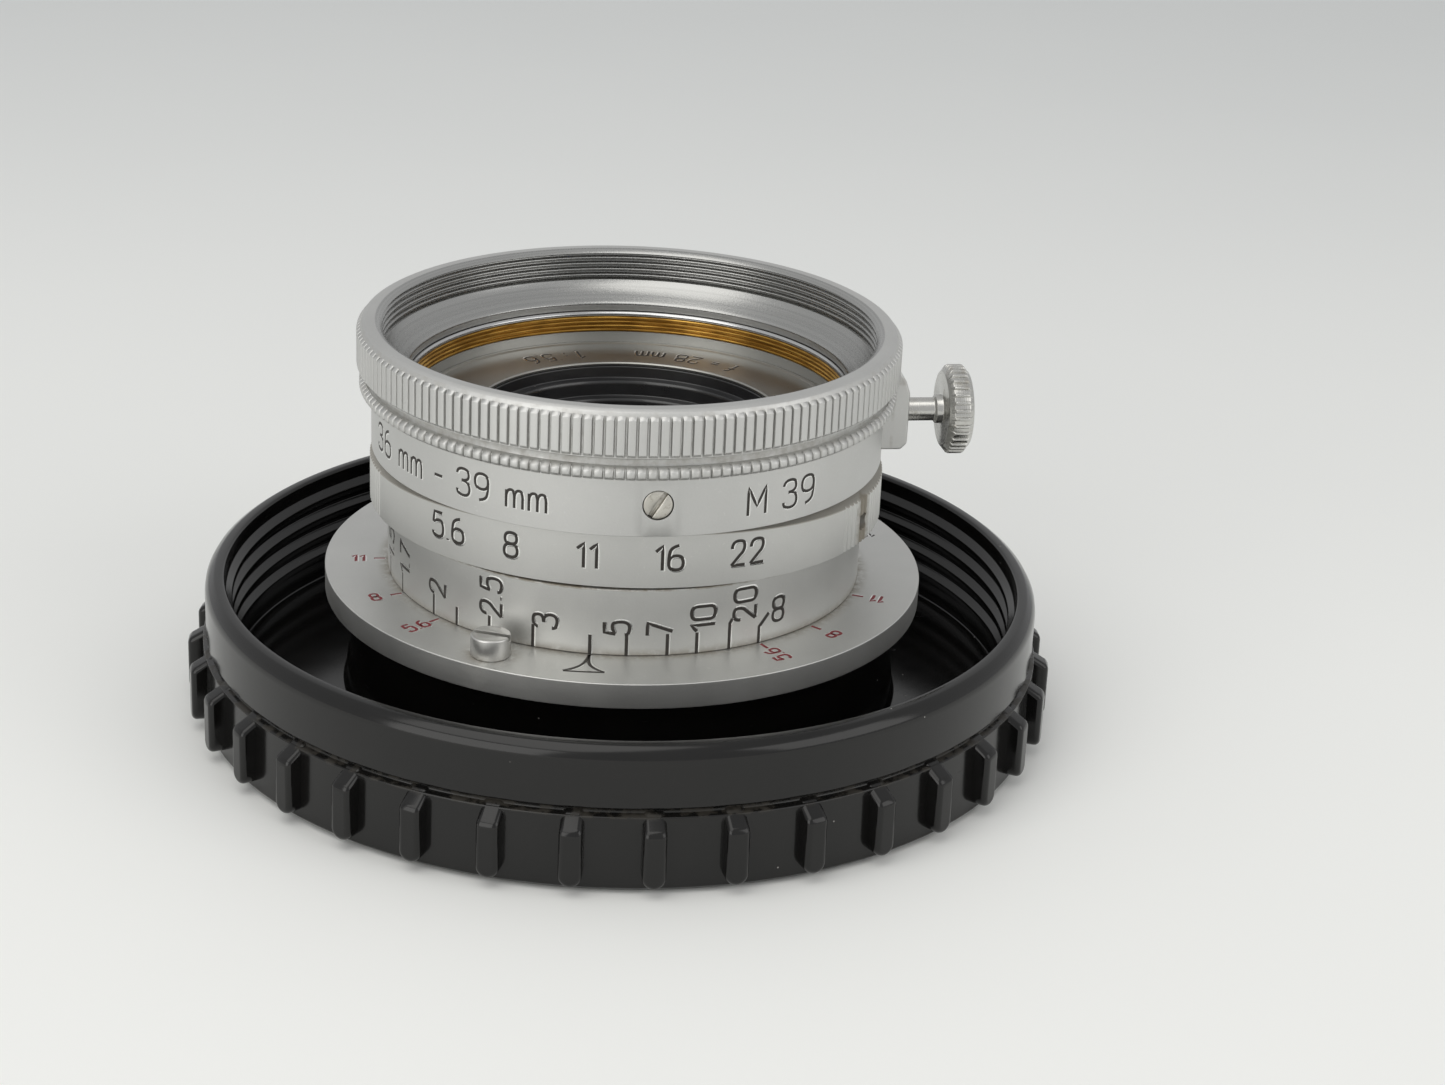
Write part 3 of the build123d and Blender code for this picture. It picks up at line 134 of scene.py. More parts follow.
def blend_colours(share, first, second):
    """Return the first colour where share is 0 and the second where it is 1."""
    settings = {"data_type": "RGBA"}
    colours = [c if isinstance(c, Wire) else (*c, 1) for c in (first, second)]
    return share.node("ShaderNodeMix", settings, {0: share, 6: colours[0], 7: colours[1]}, 2)


def specks(place, spacing, size, share):
    """Return 1 on scattered round specks of a size in mm, kept in a share of the cells."""
    cells = {"Vector": place, "Scale": 1 / (spacing * MM)}
    near = place.node("ShaderNodeTexVoronoi", {}, cells, "Distance")
    pick = place.node("ShaderNodeTexVoronoi", {}, cells, "Color")
    lucky = pick.node("ShaderNodeSeparateColor", {}, {0: pick})
    small = 1 - ease(near, 0.6 * size / spacing, size / spacing)
    return small * (1 - ease(lucky, share, share + 0.01))


def finish_named(name, **constants):
    """Start a material: return it, its shader and the wire of the object's own place."""
    material = bpy.data.materials.new(name)
    material.use_nodes = True
    shader = material.node_tree.nodes["Principled BSDF"]
    for socket, value in constants.items():
        shader.inputs[socket.replace("_", " ")].default_value = value
    coordinates = material.node_tree.nodes.new("ShaderNodeTexCoord")
    return material, shader, Wire(coordinates.outputs["Object"])


def feed(shader, **wires):
    """Link wires to a shader's sockets."""
    for socket, wire in wires.items():
        shader.id_data.links.new(wire.socket, shader.inputs[socket.replace("_", " ")])


def bump(height, strength, depth):
    """Return a normal for a height from 0 to 1 that stands depth millimetres proud."""
    return height.node(
        "ShaderNodeBump", {}, {"Strength": strength, "Distance": depth * MM, "Height": height}
    )


TABLE_NEAR = -80
TABLE_FAR = 330
TABLE_SIZE = 8
TABLE_DROP = 0.02


def table_finish():
    """Pale matt paper with clouds and specks of dust, painted darker towards the back as painted shade
    where the light falls off.
    """
    material, shader, place = finish_named("pale_table", Roughness=0.62, Specular_IOR_Level=0.25)
    cloud = noise(place, 70, 3)
    # Painted shade: the paper's colour darkens towards the back, standing in for the light falling off
    # there.
    far = ease(coordinate(place, 1), TABLE_NEAR * MM, TABLE_FAR * MM)
    paper_and_painted_shade = blend_colours(far + (cloud - 0.5) * 0.15, (0.89, 0.895, 0.875), (0.69, 0.705, 0.70))
    dust = specks(place, 16, 0.22, 0.18)
    feed(shader, Base_Color=blend_colours(dust, paper_and_painted_shade, (0.25, 0.24, 0.22)))
    return material


bpy.ops.mesh.primitive_plane_add(size=TABLE_SIZE, location=(0, 0, -TABLE_DROP * MM))
table = bpy.context.object
table.name = "table"
table.data.materials.append(table_finish())

room = bpy.data.worlds.new("room")
room.use_nodes = True
room.node_tree.nodes["Background"].inputs["Color"].default_value = (0.89, 0.895, 0.90, 1)
room.node_tree.nodes["Background"].inputs["Strength"].default_value = 0.66
bpy.context.scene.world = room


LIGHT_AIM = (0, 0, 15)


def soft_box(name, place, size, watts, colour):
    """Hang a square soft box of a size at a place, both in mm, turned to face the object."""
    bpy.ops.object.light_add(type="AREA", location=[side * MM for side in place])
    lamp = bpy.context.object
    lamp.name = name
    lamp.rotation_euler = (Vector(LIGHT_AIM) - Vector(place)).to_track_quat("-Z", "Y").to_euler()
    lamp.data.size = size * MM
    lamp.data.energy = watts
    lamp.data.color = colour


soft_box("top_box", (-160, -200, 600), 520, 1.1, (1, 0.985, 0.95))
soft_box("front_box", (-420, -560, 250), 560, 1.6, (1, 0.99, 0.96))
soft_box("right_box", (520, -260, 300), 460, 0.8, (1, 0.99, 0.97))


# ---- Keeper -------------------------------------------------------------------------------
# One moulding in polished black resin: a dish with 36 grip bars outside, a coarse thread
# for its dome inside the wall, and a threaded collar in the middle that holds the lens.
MERGE = 0.0005 * MM


def only(piece):
    """Select one object and nothing else."""
    bpy.ops.object.select_all(action="DESELECT")
    piece.select_set(True)
    bpy.context.view_layer.objects.active = piece


def start(name, place=(0, 0, 0)):
    """Begin a piece as one selected vertex in edit mode, at a place in mm."""
    bpy.ops.object.select_all(action="DESELECT")
    bpy.ops.mesh.primitive_plane_add(size=MM)
    piece = bpy.context.object
    piece.name = name
    bpy.ops.object.mode_set(mode="EDIT")
    bpy.ops.mesh.select_all(action="SELECT")
    bpy.ops.mesh.merge(type="CENTER")
    bpy.ops.transform.translate(value=[side * MM for side in place])
    return piece


def draw(outline):
    """Extrude the selected vertex along a closed outline of (x, z) points in mm."""
    for (x0, z0), (x1, z1) in zip(outline, outline[1:] + outline[:1]):
        step = ((x1 - x0) * MM, 0, (z1 - z0) * MM)
        bpy.ops.mesh.extrude_region_move(TRANSFORM_OT_translate={"value": step})
    bpy.ops.mesh.select_all(action="SELECT")
    bpy.ops.mesh.remove_doubles(threshold=MERGE)
    bpy.ops.mesh.select_all(action="SELECT")


def close_up():
    """Merge what meets, turn every face outwards and leave edit mode."""
    bpy.ops.mesh.select_all(action="SELECT")
    bpy.ops.mesh.remove_doubles(threshold=MERGE)
    bpy.ops.mesh.normals_make_consistent(inside=False)
    bpy.ops.object.mode_set(mode="OBJECT")


def turned(name, outline, steps=180):
    """Turn a piece on the lathe: spin its closed (radius, height) outline about Z."""
    piece = start(name, (outline[0][0], 0, outline[0][1]))
    draw(outline)
    bpy.ops.mesh.spin(steps=steps, angle=tau, center=(0, 0, 0), axis=(0, 0, 1))
    close_up()
    return piece


def milled(name, outline, width):
    """Cut a piece from plate: its closed (x, z) outline, as thick as width along Y."""
    piece = start(name, (outline[0][0], -width / 2, outline[0][1]))
    draw(outline)
    bpy.ops.mesh.edge_face_add()
    bpy.ops.mesh.extrude_region_move(TRANSFORM_OT_translate={"value": (0, width * MM, 0)})
    close_up()
    return piece


def soften(piece, width, segments=2, angle=30):
    """Round a piece's edges by a width in mm, and shade it smooth."""
    only(piece)
    edges = piece.modifiers.new("edges", "BEVEL")
    edges.width = width * MM
    edges.segments = segments
    edges.limit_method = "ANGLE"
    edges.angle_limit = radians(angle)
    bpy.ops.object.modifier_apply(modifier="edges")
    bpy.ops.object.shade_smooth_by_angle(angle=radians(50))
    piece.modifiers.new("normals", "WEIGHTED_NORMAL").keep_sharp = True
    bpy.ops.object.modifier_apply(modifier="normals")
    return piece


def repeat_round(piece, count):
    """Copy a whole piece evenly round the Z axis, within its own mesh."""
    only(piece)
    bpy.ops.object.mode_set(mode="EDIT")
    bpy.ops.mesh.select_all(action="SELECT")
    turn = tau * (count - 1) / count
    bpy.ops.mesh.spin(steps=count - 1, dupli=True, angle=turn, center=(0, 0, 0), axis=(0, 0, 1))
    bpy.ops.object.mode_set(mode="OBJECT")
    return piece


def settle(piece, *moves):
    """Put moves, in their order, into a piece's mesh and leave its object at the origin."""
    only(piece)
    for move in moves:
        piece.data.transform(move)
    return piece


def turn_z(angle):
    """Return a turn about Z by an angle in degrees."""
    return Matrix.Rotation(radians(angle), 4, "Z")


def joined(*pieces):
    """Join pieces into the first one."""
    only(pieces[0])
    for piece in pieces[1:]:
        piece.select_set(True)
    bpy.ops.object.join()
    return pieces[0]


def cut_away(piece, cutter):
    """Take a cutter's shape out of a piece."""
    only(piece)
    cut = piece.modifiers.new("cut", "BOOLEAN")
    cut.operation = "DIFFERENCE"
    cut.solver = "EXACT"
    cut.object = cutter
    bpy.ops.object.modifier_apply(modifier="cut")
    bpy.data.objects.remove(cutter)
    return piece


def mount(piece, finish, body, slot, *nodes):
    """Give a finished piece its material, its body and the CAD nodes that it stands for."""
    piece.data.materials.clear()
    piece.data.materials.append(finish)
    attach(piece, body)
    if nodes:
        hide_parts(*nodes)


def ridges(root, crest, low, pitch, count):
    """Return the (radius, height) points of rounded thread ridges, from low upwards."""
    points = []
    for turn in range(count):
        foot = low + turn * pitch
        points += [(root, foot + 0.08 * pitch), (crest, foot + 0.36 * pitch)]
        points += [(crest, foot + 0.64 * pitch), (root, foot + 0.92 * pitch)]
    return points


def moulding_finish():
    """Black resin, polished by handling: smears, hair scratches, dust and dirt in the groove."""
    material, shader, place = finish_named("black_moulding", IOR=1.46)
    x, y, z = (coordinate(place, axis) for axis in range(3))
    smear = noise(place, 9, 4, 0.6)
    haze = noise(place, 2.2, 3, 0.6)
    grain = noise(place, 0.12, 2)
    along = place.node("ShaderNodeMapping", {}, {"Vector": place, "Scale": (1, 1, 26)})
    hair = ease(noise(along, 3.5, 5, 0.7), 0.66, 0.72)
    dust = specks(place, 1.3, 0.075, 0.10)
    outside = ease((x * x + y * y) ** 0.5, 32.7 * MM, 32.8 * MM)
    girdle = ease(z, 5.6 * MM, 6.0 * MM) * (1 - ease(z, 6.9 * MM, 7.3 * MM))
    chips = specks(place, 7.5, 0.3, 0.07) * outside * girdle
    groove = outside * ease(z, 5.9 * MM, 6.15 * MM) * (1 - ease(z, 6.45 * MM, 6.6 * MM))
    dirt = groove * ease(noise(place, 1.1, 4), 0.42, 0.62)
    black = blend_colours(smear, (0.002, 0.002, 0.002), (0.007, 0.0065, 0.006))
    dirty = blend_colours(dirt * 0.3, black, (0.07, 0.06, 0.045))
    dusty = blend_colours(dust * 0.8, dirty, (0.33, 0.32, 0.30))
    feed(
        shader,
        Base_Color=blend_colours(chips, dusty, (0.50, 0.46, 0.38)),
        Roughness=0.07 + smear * 0.10 + haze * 0.06 + hair * 0.15 + dirt * 0.35 + dust * 0.3,
        Normal=bump(grain * 0.15 + haze * 0.4 + dust * 2.0 + chips * 4.0, 0.3, 0.015),
    )
    return material


def size_of(node):
    """Return a round CAD node's outer radius, its bottom and its top, in mm."""
    low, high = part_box(node)
    return max(high.x, high.y) / MM, low.z / MM, high.z / MM


bar_r, _, keeper_top = size_of("keeper_base")
KEEPER_WALL_R = 33.5
KEEPER_BORE_R = 31.9
KEEPER_FLOOR = 1.8
KEEPER_HOLLOW = 0.25
GROOVE_LOW = 6.2
GROOVE_TOP = 6.5
DOME_THREAD_R = 31.35
DOME_THREAD_LOW = 3.4
DOME_PITCH = 1.7
COLLAR_R = 21.95
COLLAR_TOP = 9.98
COLLAR_BORE_R = 19.95
COLLAR_THREAD_R = 19.5
COLLAR_THREAD_LOW = 4.6
MOUNT_PITCH = 0.977
CAM_WELL_R = 18.2
KEEPER_BARS = 36
KEEPER_BAR_START = -83.05
BAR_R = 0.875
BAR_LOW = 0.85
BAR_TOP = 6.1
BAR_REACH = 2.6
BAR_STRETCH = 5.4
BAR_CHAMFER = (0.51, 0, 0.86)

keeper = turned(
    "keeper",
    [
        (0, KEEPER_HOLLOW),
        (30.6, KEEPER_HOLLOW),
        (31.0, 0),
        (KEEPER_WALL_R - 0.3, 0),
        (KEEPER_WALL_R + 0.35, 0.5),
        (KEEPER_WALL_R + 0.25, 6.1),
        (KEEPER_WALL_R - 0.35, GROOVE_LOW),
        (KEEPER_WALL_R - 0.35, GROOVE_TOP),
        (KEEPER_WALL_R, 6.7),
        (KEEPER_WALL_R, 10.2),
        (KEEPER_WALL_R - 0.08, 10.65),
        (KEEPER_WALL_R - 0.32, 11.05),
        (KEEPER_WALL_R - 0.75, keeper_top - 0.04),
        (KEEPER_WALL_R - 1.1, keeper_top),
        (KEEPER_BORE_R + 0.15, keeper_top),
        (KEEPER_BORE_R, keeper_top - 0.2),
        *reversed(ridges(KEEPER_BORE_R, DOME_THREAD_R, DOME_THREAD_LOW, DOME_PITCH, 4)),
        (KEEPER_BORE_R, KEEPER_FLOOR + 0.9),
        (KEEPER_BORE_R - 0.25, KEEPER_FLOOR + 0.28),
        (KEEPER_BORE_R - 0.9, KEEPER_FLOOR),
        (COLLAR_R + 0.6, KEEPER_FLOOR),
        (COLLAR_R + 0.35, KEEPER_FLOOR + 0.2),
        (COLLAR_R + 0.35, 3.6),
        (COLLAR_R, 3.9),
        (COLLAR_R, COLLAR_TOP),
        (COLLAR_BORE_R, COLLAR_TOP),
        *reversed(ridges(COLLAR_BORE_R, COLLAR_THREAD_R, COLLAR_THREAD_LOW, MOUNT_PITCH, 5)),
        (CAM_WELL_R, COLLAR_THREAD_LOW),
        (CAM_WELL_R, KEEPER_FLOOR),
        (0, KEEPER_FLOOR),
    ],
    steps=216,
)
soften(keeper, 0.12, 2, 25)

bpy.ops.object.select_all(action="DESELECT")
bpy.ops.mesh.primitive_cylinder_add(
    vertices=28,
    radius=BAR_R * MM,
    depth=BAR_REACH * MM,
    location=((bar_r - BAR_REACH / 2) * MM, 0, (BAR_LOW + BAR_R) * MM),
    rotation=(0, pi / 2, 0),
)
bars = bpy.context.object
bpy.ops.object.transform_apply()


def pick(piece, wanted):
    """In edit mode, select the vertices whose place in mm passes a test, and nothing else."""
    bpy.ops.mesh.select_mode(type="VERT")
    bpy.ops.mesh.select_all(action="DESELECT")
    mesh = bmesh.from_edit_mesh(piece.data)
    for vertex in mesh.verts:
        vertex.select = wanted(vertex.co / MM)
    mesh.select_flush(True)
    bmesh.update_edit_mesh(piece.data)


bpy.ops.object.mode_set(mode="EDIT")
pick(bars, lambda place: place.z > BAR_LOW + BAR_R + 0.01)
bpy.ops.transform.translate(value=(0, 0, BAR_STRETCH * MM))
bpy.ops.mesh.select_all(action="SELECT")
bpy.ops.mesh.bisect(
    plane_co=((KEEPER_WALL_R + 0.15) * MM, 0, BAR_TOP * MM),
    plane_no=BAR_CHAMFER,
    clear_outer=True,
    use_fill=True,
)
close_up()
soften(bars, 0.42, 5, 40)
settle(bars, turn_z(KEEPER_BAR_START))
repeat_round(bars, KEEPER_BARS)
joined(keeper, bars)
mount(keeper, moulding_finish(), "keeper", "black_moulding", "keeper_base")


# ---- Mount flange -------------------------------------------------------------------------
# Turned brass in satin chrome: a flat flange with a 39 mm thread behind it. Grime has
# gathered where the drum turns on it and round the stop post.
DIRT_AND_SHADE = (0.15, 0.115, 0.06)


def lathe_line(place):
    """Return (radius, 0, height), on which a pattern runs round the axis in rings."""
    x, y, z = (coordinate(place, axis) for axis in range(3))
    return place.node("ShaderNodeCombineXYZ", {}, {0: (x * x + y * y) ** 0.5, 2: z})


def metal(
    name, tint, roughness, grain=0.11, depth=0.004, dirt_and_shade=None, worn=0.0, turning=0.0, turned_with_painted_shade=None
):
    """Return a metal finish with a fine grain and faint clouds.

    Grain, depth and turning are in mm: turning is the width of the lathe's rings. It is dirty
    where its dirt mask says, and on the aperture ring's cone that mask paints shade in the dirt
    colour; where its last mask says, it is turned smooth and streaked and painted darker as shade.
    """
    material, shader, place = finish_named(name)
    fine = noise(place, grain, 2, 0.6)
    cloud = noise(place, 6, 4, 0.55)
    fleck = ease(noise(place, grain * 2.2, 3, 0.7), 0.62, 0.74)
    dark = [side * 0.80 for side in tint]
    pale = [min(side * 1.10, 1) for side in tint]
    shade = blend_colours(0.25 * fine + 0.55 * cloud + 0.1, dark, pale)
    shade = blend_colours(fleck * 0.35, shade, pale)
    rough = roughness - 0.07 + 0.10 * fine + 0.08 * cloud - fleck * 0.05
    height = fine + fleck * 0.4
    if turning:
        rings = noise(lathe_line(place), turning, 3, 0.7)
        height = fine * 0.5 + rings
        rough = rough + (rings - 0.5) * 0.12
    if worn:
        scratch = place.node("ShaderNodeMapping", {}, {"Vector": place, "Scale": (1, 1, 14)})
        marks = ease(noise(scratch, 1.6, 5, 0.7), 0.64, 0.70)
        shade = blend_colours(marks * worn, shade, pale)
        rough = rough - marks * (0.1 * worn)
    # Painted shade: here the colour is darkened as painted shade, with streaks along the lathe's rings,
    # and the roughness is lowered as turned metal.
    if turned_with_painted_shade:
        share = turned_with_painted_shade(place)
        streaks = noise(lathe_line(place), 0.16, 2, 0.7)
        lines = [side * 0.45 for side in tint]
        lands = [side * 0.88 for side in tint]
        turned_and_shaded = blend_colours(streaks, lines, lands)
        shade = blend_colours(share, shade, turned_and_shaded)
        rough = rough - share * (0.26 - 0.12 * streaks)
    # Where the mask stands for shade, as on the aperture ring's cone, this dirt colour is painted
    # shade.
    if dirt_and_shade:
        dirt = dirt_and_shade(place)
        shade = blend_colours(dirt, shade, DIRT_AND_SHADE)
        rough = rough + dirt * 0.3
        feed(shader, Metallic=1 - dirt * 0.75)
    else:
        shader.inputs["Metallic"].default_value = 1.0
    feed(shader, Base_Color=shade, Roughness=rough, Normal=bump(height, 0.5, depth))
    return material


CHROME = (0.64, 0.64, 0.62)
POST_ANGLE = -114.5
POST_FROM_AXIS = 21.65
POST_PLACE = (
    POST_FROM_AXIS * cos(radians(POST_ANGLE)),
    POST_FROM_AXIS * sin(radians(POST_ANGLE)),
)


def distance_from(place, centre):
    """Return how far a point is from an upright line through a centre in mm, in mm."""
    across = coordinate(place, 0) / MM - centre[0]
    along = coordinate(place, 1) / MM - centre[1]
    return (across * across + along * along) ** 0.5


def flange_soil(place):
    """Grime along the drum and round the post, in patches."""
    patch = noise(place, 0.9, 4, 0.65)
    joint = 1 - ease(distance_from(place, (0, 0)) + patch * 0.9, 19.2, 20.6)
    post = 1 - ease(distance_from(place, POST_PLACE) + patch * 1.6, 2.0, 3.7)
    both = joint.math("MAXIMUM", joint, post)
    return both * ease(patch, 0.34, 0.66) * 0.75


flange_r, tail_end, flange_top = size_of("mount_flange")
FLANGE_THICK = 2.0
MOUNT_BORE_R = 17.6
THREAD_R = 19.4
flange = turned(
    "flange",
    [
        (MOUNT_BORE_R, tail_end),
        (THREAD_R - 0.5, tail_end),
        *ridges(THREAD_R - 0.5, THREAD_R, tail_end + 0.1, MOUNT_PITCH, 4),
        (THREAD_R - 0.5, flange_top - FLANGE_THICK),
        (flange_r, flange_top - FLANGE_THICK),
        (flange_r, flange_top),
        (MOUNT_BORE_R, flange_top),
    ],
    steps=240,
)
soften(flange, 0.13, 3)
flange_finish = metal(
    "satin_chrome_flange", CHROME, 0.46, grain=0.16, depth=0.014, dirt_and_shade=flange_soil, worn=0.3
)
mount(flange, flange_finish, "lens_mount", "satin_chrome", "mount_flange")


# ---- Scales -------------------------------------------------------------------------------
# Engraved with a pantograph: strokes of one width, filled with dull paint, with a burr along
# one side, paler than the metal as a painted highlight on the cut's lit edge. Each mark is a
# thin ribbon on its surface. Letters are one unit high.
GLYPHS = {
    "0": [("loop", [(0, 0), (0.56, 0), (0.56, 0.5), (0.56, 1), (0, 1), (0, 0.5)])],
    "1": [("line", [(0.0, 0.76), (0.26, 1), (0.26, 0)])],
    "2": [("bend", [(0.02, 0.7), (0.02, 1), (0.54, 1), (0.54, 0.6), (0.28, 0.34), (0.0, 0.0)]),
          ("line", [(0, 0), (0.56, 0)])],
    "3": [("bend", [(0.0, 0.8), (0.02, 1), (0.53, 1), (0.53, 0.56), (0.2, 0.56)]),
          ("bend", [(0.2, 0.56), (0.57, 0.56), (0.57, 0), (0.0, 0), (0, 0.22)])],
    "5": [("line", [(0.5, 1), (0.08, 1), (0.03, 0.56)]),
          ("bend", [(0.03, 0.56), (0.16, 0.68), (0.56, 0.68), (0.56, 0), (0.02, 0), (0, 0.2)])],
    "6": [("loop", [(0, 0), (0.56, 0), (0.56, 0.58), (0, 0.58)]),
          ("bend", [(0.0, 0.29), (0.0, 0.62), (0.1, 0.94), (0.38, 1)])],
    "7": [("line", [(0, 1), (0.54, 1), (0.16, 0)])],
    "8": [("loop", [(0.03, 0.54), (0.53, 0.54), (0.53, 1), (0.03, 1)]),
          ("loop", [(0, 0), (0.56, 0), (0.56, 0.54), (0, 0.54)])],
    "9": [("loop", [(0, 0.42), (0.56, 0.42), (0.56, 1), (0, 1)]),
          ("bend", [(0.56, 0.71), (0.56, 0.38), (0.46, 0.06), (0.18, 0)])],
    ".": [("line", [(0, 0.0), (0, 0.06)])],
    ":": [("line", [(0, 0.1), (0, 0.16)]), ("line", [(0, 0.5), (0, 0.56)])],
    "-": [("line", [(0, 0.42), (0.4, 0.42)])],
    "=": [("line", [(0, 0.32), (0.4, 0.32)]), ("line", [(0, 0.54), (0.4, 0.54)])],
    "f": [("bend", [(0.42, 0.98), (0.18, 1.04), (0.18, 0.72)]), ("line", [(0.18, 0.8), (0.18, 0)]),
          ("line", [(0, 0.62), (0.38, 0.62)])],
    "m": [("line", [(0, 0), (0, 0.64)]), ("bend", [(0, 0.4), (0.02, 0.66), (0.32, 0.66), (0.32, 0.36)]),
          ("line", [(0.32, 0.4), (0.32, 0)]),
          ("bend", [(0.32, 0.4), (0.34, 0.66), (0.64, 0.66), (0.64, 0.36)]),
          ("line", [(0.64, 0.4), (0.64, 0)])],
    "M": [("line", [(0, 0), (0, 1), (0.34, 0.3), (0.68, 1), (0.68, 0)])],
    "~": [("loop", [(0, 0.22), (0.52, 0.22), (0.52, 0.78), (0, 0.78)]),
          ("loop", [(0.52, 0.22), (1.04, 0.22), (1.04, 0.78), (0.52, 0.78)])],
}
LETTER_GAP = 0.24
WORD_GAP = 0.5
STROKE = 0.28
FLATTEN = 0.14


def strokes_of(text, height):
    """Return a text's strokes in mm, centred across, with its foot at 0."""
    strokes = []
    pen = 0.0
    for letter in text:
        if letter == " ":
            pen += WORD_GAP
            continue
        right = max(x for _, points in GLYPHS[letter] for x, _ in points)
        for kind, points in GLYPHS[letter]:
            strokes.append((kind, [((x + pen) * height, y * height) for x, y in points]))
        pen += right + LETTER_GAP
    middle = (pen - LETTER_GAP) * height / 2
    return [(kind, [(x - middle, y) for x, y in points]) for kind, points in strokes]


def ribbon(name, strokes, surface, width, lift=1.0, shift=(0, 0)):
    """Lay strokes on a surface: surface(x, y, height) gives the place of a flat point, in mm."""
    curve = bpy.data.curves.new(name, "CURVE")
    curve.dimensions = "3D"
    curve.bevel_depth = width / 2
    curve.bevel_resolution = 1
    curve.resolution_u = 5
    curve.use_fill_caps = True
    for kind, points in strokes:
        if kind == "line":
            points = finer(points)
        spline = curve.splines.new("POLY" if kind == "line" else "NURBS")
        spline.points.add(len(points) - 1)
        for point, (x, y) in zip(spline.points, points):
            point.co = (x + shift[0], y + shift[1], 0, 1)
        if kind != "line":
            spline.order_u = 3
            spline.use_cyclic_u = kind == "loop"
            spline.use_endpoint_u = kind == "bend"
    piece = bpy.data.objects.new(name, curve)
    bpy.context.scene.collection.objects.link(piece)
    only(piece)
    bpy.ops.object.convert(target="MESH")
    piece = bpy.context.object
    for vertex in piece.data.vertices:
        x, y, z = vertex.co
        vertex.co = Vector(surface(x, y, z * FLATTEN * lift)) * MM
    bpy.ops.object.mode_set(mode="EDIT")
    close_up()
    bpy.ops.object.shade_smooth_by_angle(angle=radians(60))
    return piece


def finer(points, longest=0.5):
    """Divide long straight runs so that they can follow a round surface."""
    path = [points[0]]
    for (x0, y0), (x1, y1) in zip(points, points[1:]):
        parts = max(1, int(hypot(x1 - x0, y1 - y0) / longest + 0.999))
        path += [(x0 + (x1 - x0) * i / parts, y0 + (y1 - y0) * i / parts) for i in range(1, parts + 1)]
    return path


def on_wall(radius_at, angle, foot):
    """Text that reads sideways on an upright round wall."""
    def surface(x, y, height):
        turn = radians(angle) + x / radius_at(angle)
        radius = radius_at(degrees(turn)) + height
        return (radius * cos(turn), radius * sin(turn), foot + y)
    return surface


def up_wall(radius, angle, foot, aside=0.0):
    """Text that reads upwards on an upright round wall, its tops to the left."""
    def surface(x, y, height):
        turn = radians(angle) + (aside - y) / radius
        return ((radius + height) * cos(turn), (radius + height) * sin(turn), foot + x)
    return surface


def on_deck(angle, radius, level):
    """Text that reads inwards on a flat ring, towards the axis."""
    def surface(x, y, height):
        turn = radians(angle) - y / radius
        return ((radius - x) * cos(turn), (radius - x) * sin(turn), level + height)
    return surface


def paint_finish(name, colour):
    """Engraver's filling: dull paint, uneven and a little dusty."""
    material, shader, place = finish_named(name)
    mottle = noise(place, 0.25, 3, 0.6)
    pale = [min(side * 1.6 + 0.006, 1) for side in colour]
    feed(
        shader,
        Base_Color=blend_colours(ease(mottle, 0.3, 0.75), colour, pale),
        Roughness=0.55 + (mottle - 0.5) * 0.2,
        Normal=bump(mottle, 0.4, 0.006),
    )
    return material


BLACK_PAINT = paint_finish("black_filling", (0.016, 0.013, 0.010))
RED_PAINT = paint_finish("red_filling", (0.13, 0.007, 0.011))
# Painted highlight: the burr's metal is paler than the chrome and shifted to one side of each stroke,
# standing in for the lit edge of the cut.
BURR_HIGHLIGHT = metal("burr_highlight", (0.86, 0.86, 0.84), 0.22, grain=0.08, depth=0.002)
HIGHLIGHT_ASIDE = 0.045


def engrave(name, marks, body, slot, paint=BLACK_PAINT, width=STROKE):
    """Fill marks, each (strokes, surface), with paint and leave beside them a burr, paler than the
    metal and set to one side as a painted highlight.
    """
    fills = [ribbon(name, strokes, surface, width) for strokes, surface in marks]
    burr_highlights = [
        ribbon(name + "_burr", strokes, surface, width, 0.7, (HIGHLIGHT_ASIDE, -HIGHLIGHT_ASIDE))
        for strokes, surface in marks
    ]
    mount(joined(*fills), paint, body, slot)
    mount(joined(*burr_highlights), BURR_HIGHLIGHT, body, slot)


# The flange has the index arrow and, either side of it, marks for the depth of field: red
# ones, and thinner black ones where they run furthest round.
INDEX_ANGLE = -94.8
DEPTH_MARKS = {-83.6: "11", -61.9: "8", -44.7: "5.6", 35.9: "5.6", 52.2: "8", 74.1: "11"}
FAR_MARKS = {-121.0: "16", 111.5: "16"}
TICK_FOOT_R = 19.15
TICK = [("line", [(-0.45, 0), (0.45, 0)])]
DEPTH_HEIGHT = 1.25
DEPTH_NUMBER_R = 21.35


def depth_scale(numbers):
    """Return each number with its tick, on the flange."""
    marks = []
    for from_front, number in numbers.items():
        angle = from_front - 90
        marks.append((TICK, on_deck(angle, TICK_FOOT_R + 0.5, flange_top)))
        strokes = strokes_of(number, DEPTH_HEIGHT)
        marks.append((strokes, on_deck(angle + 1.6, DEPTH_NUMBER_R, flange_top)))
    return marks


engrave("depth_scale", depth_scale(DEPTH_MARKS), "lens_mount", "satin_chrome", RED_PAINT, 0.29)
engrave("far_depth_scale", depth_scale(FAR_MARKS), "lens_mount", "satin_chrome", width=0.24)

arrow = [
    ("bend", [(0.05, 0), (-1.2, 0.05), (-2.4, 0.55), (-3.1, 1.32)]),
    ("bend", [(0.05, 0), (-1.2, -0.05), (-2.3, -0.55), (-2.85, -1.32)]),
    ("line", [(-3.1, 1.32), (-2.85, -1.32)]),
]
arrow_marks = [(arrow, on_deck(INDEX_ANGLE, TICK_FOOT_R, flange_top))]
engrave("index_arrow", arrow_marks, "lens_mount", "satin_chrome", width=0.3)


# ---- Stop post ----------------------------------------------------------------------------
# A turned steel screw with a slot across its head; the lever runs against it near its limit.
POST_R = 1.52
POST_SLOT_ANGLE = POST_ANGLE + 100


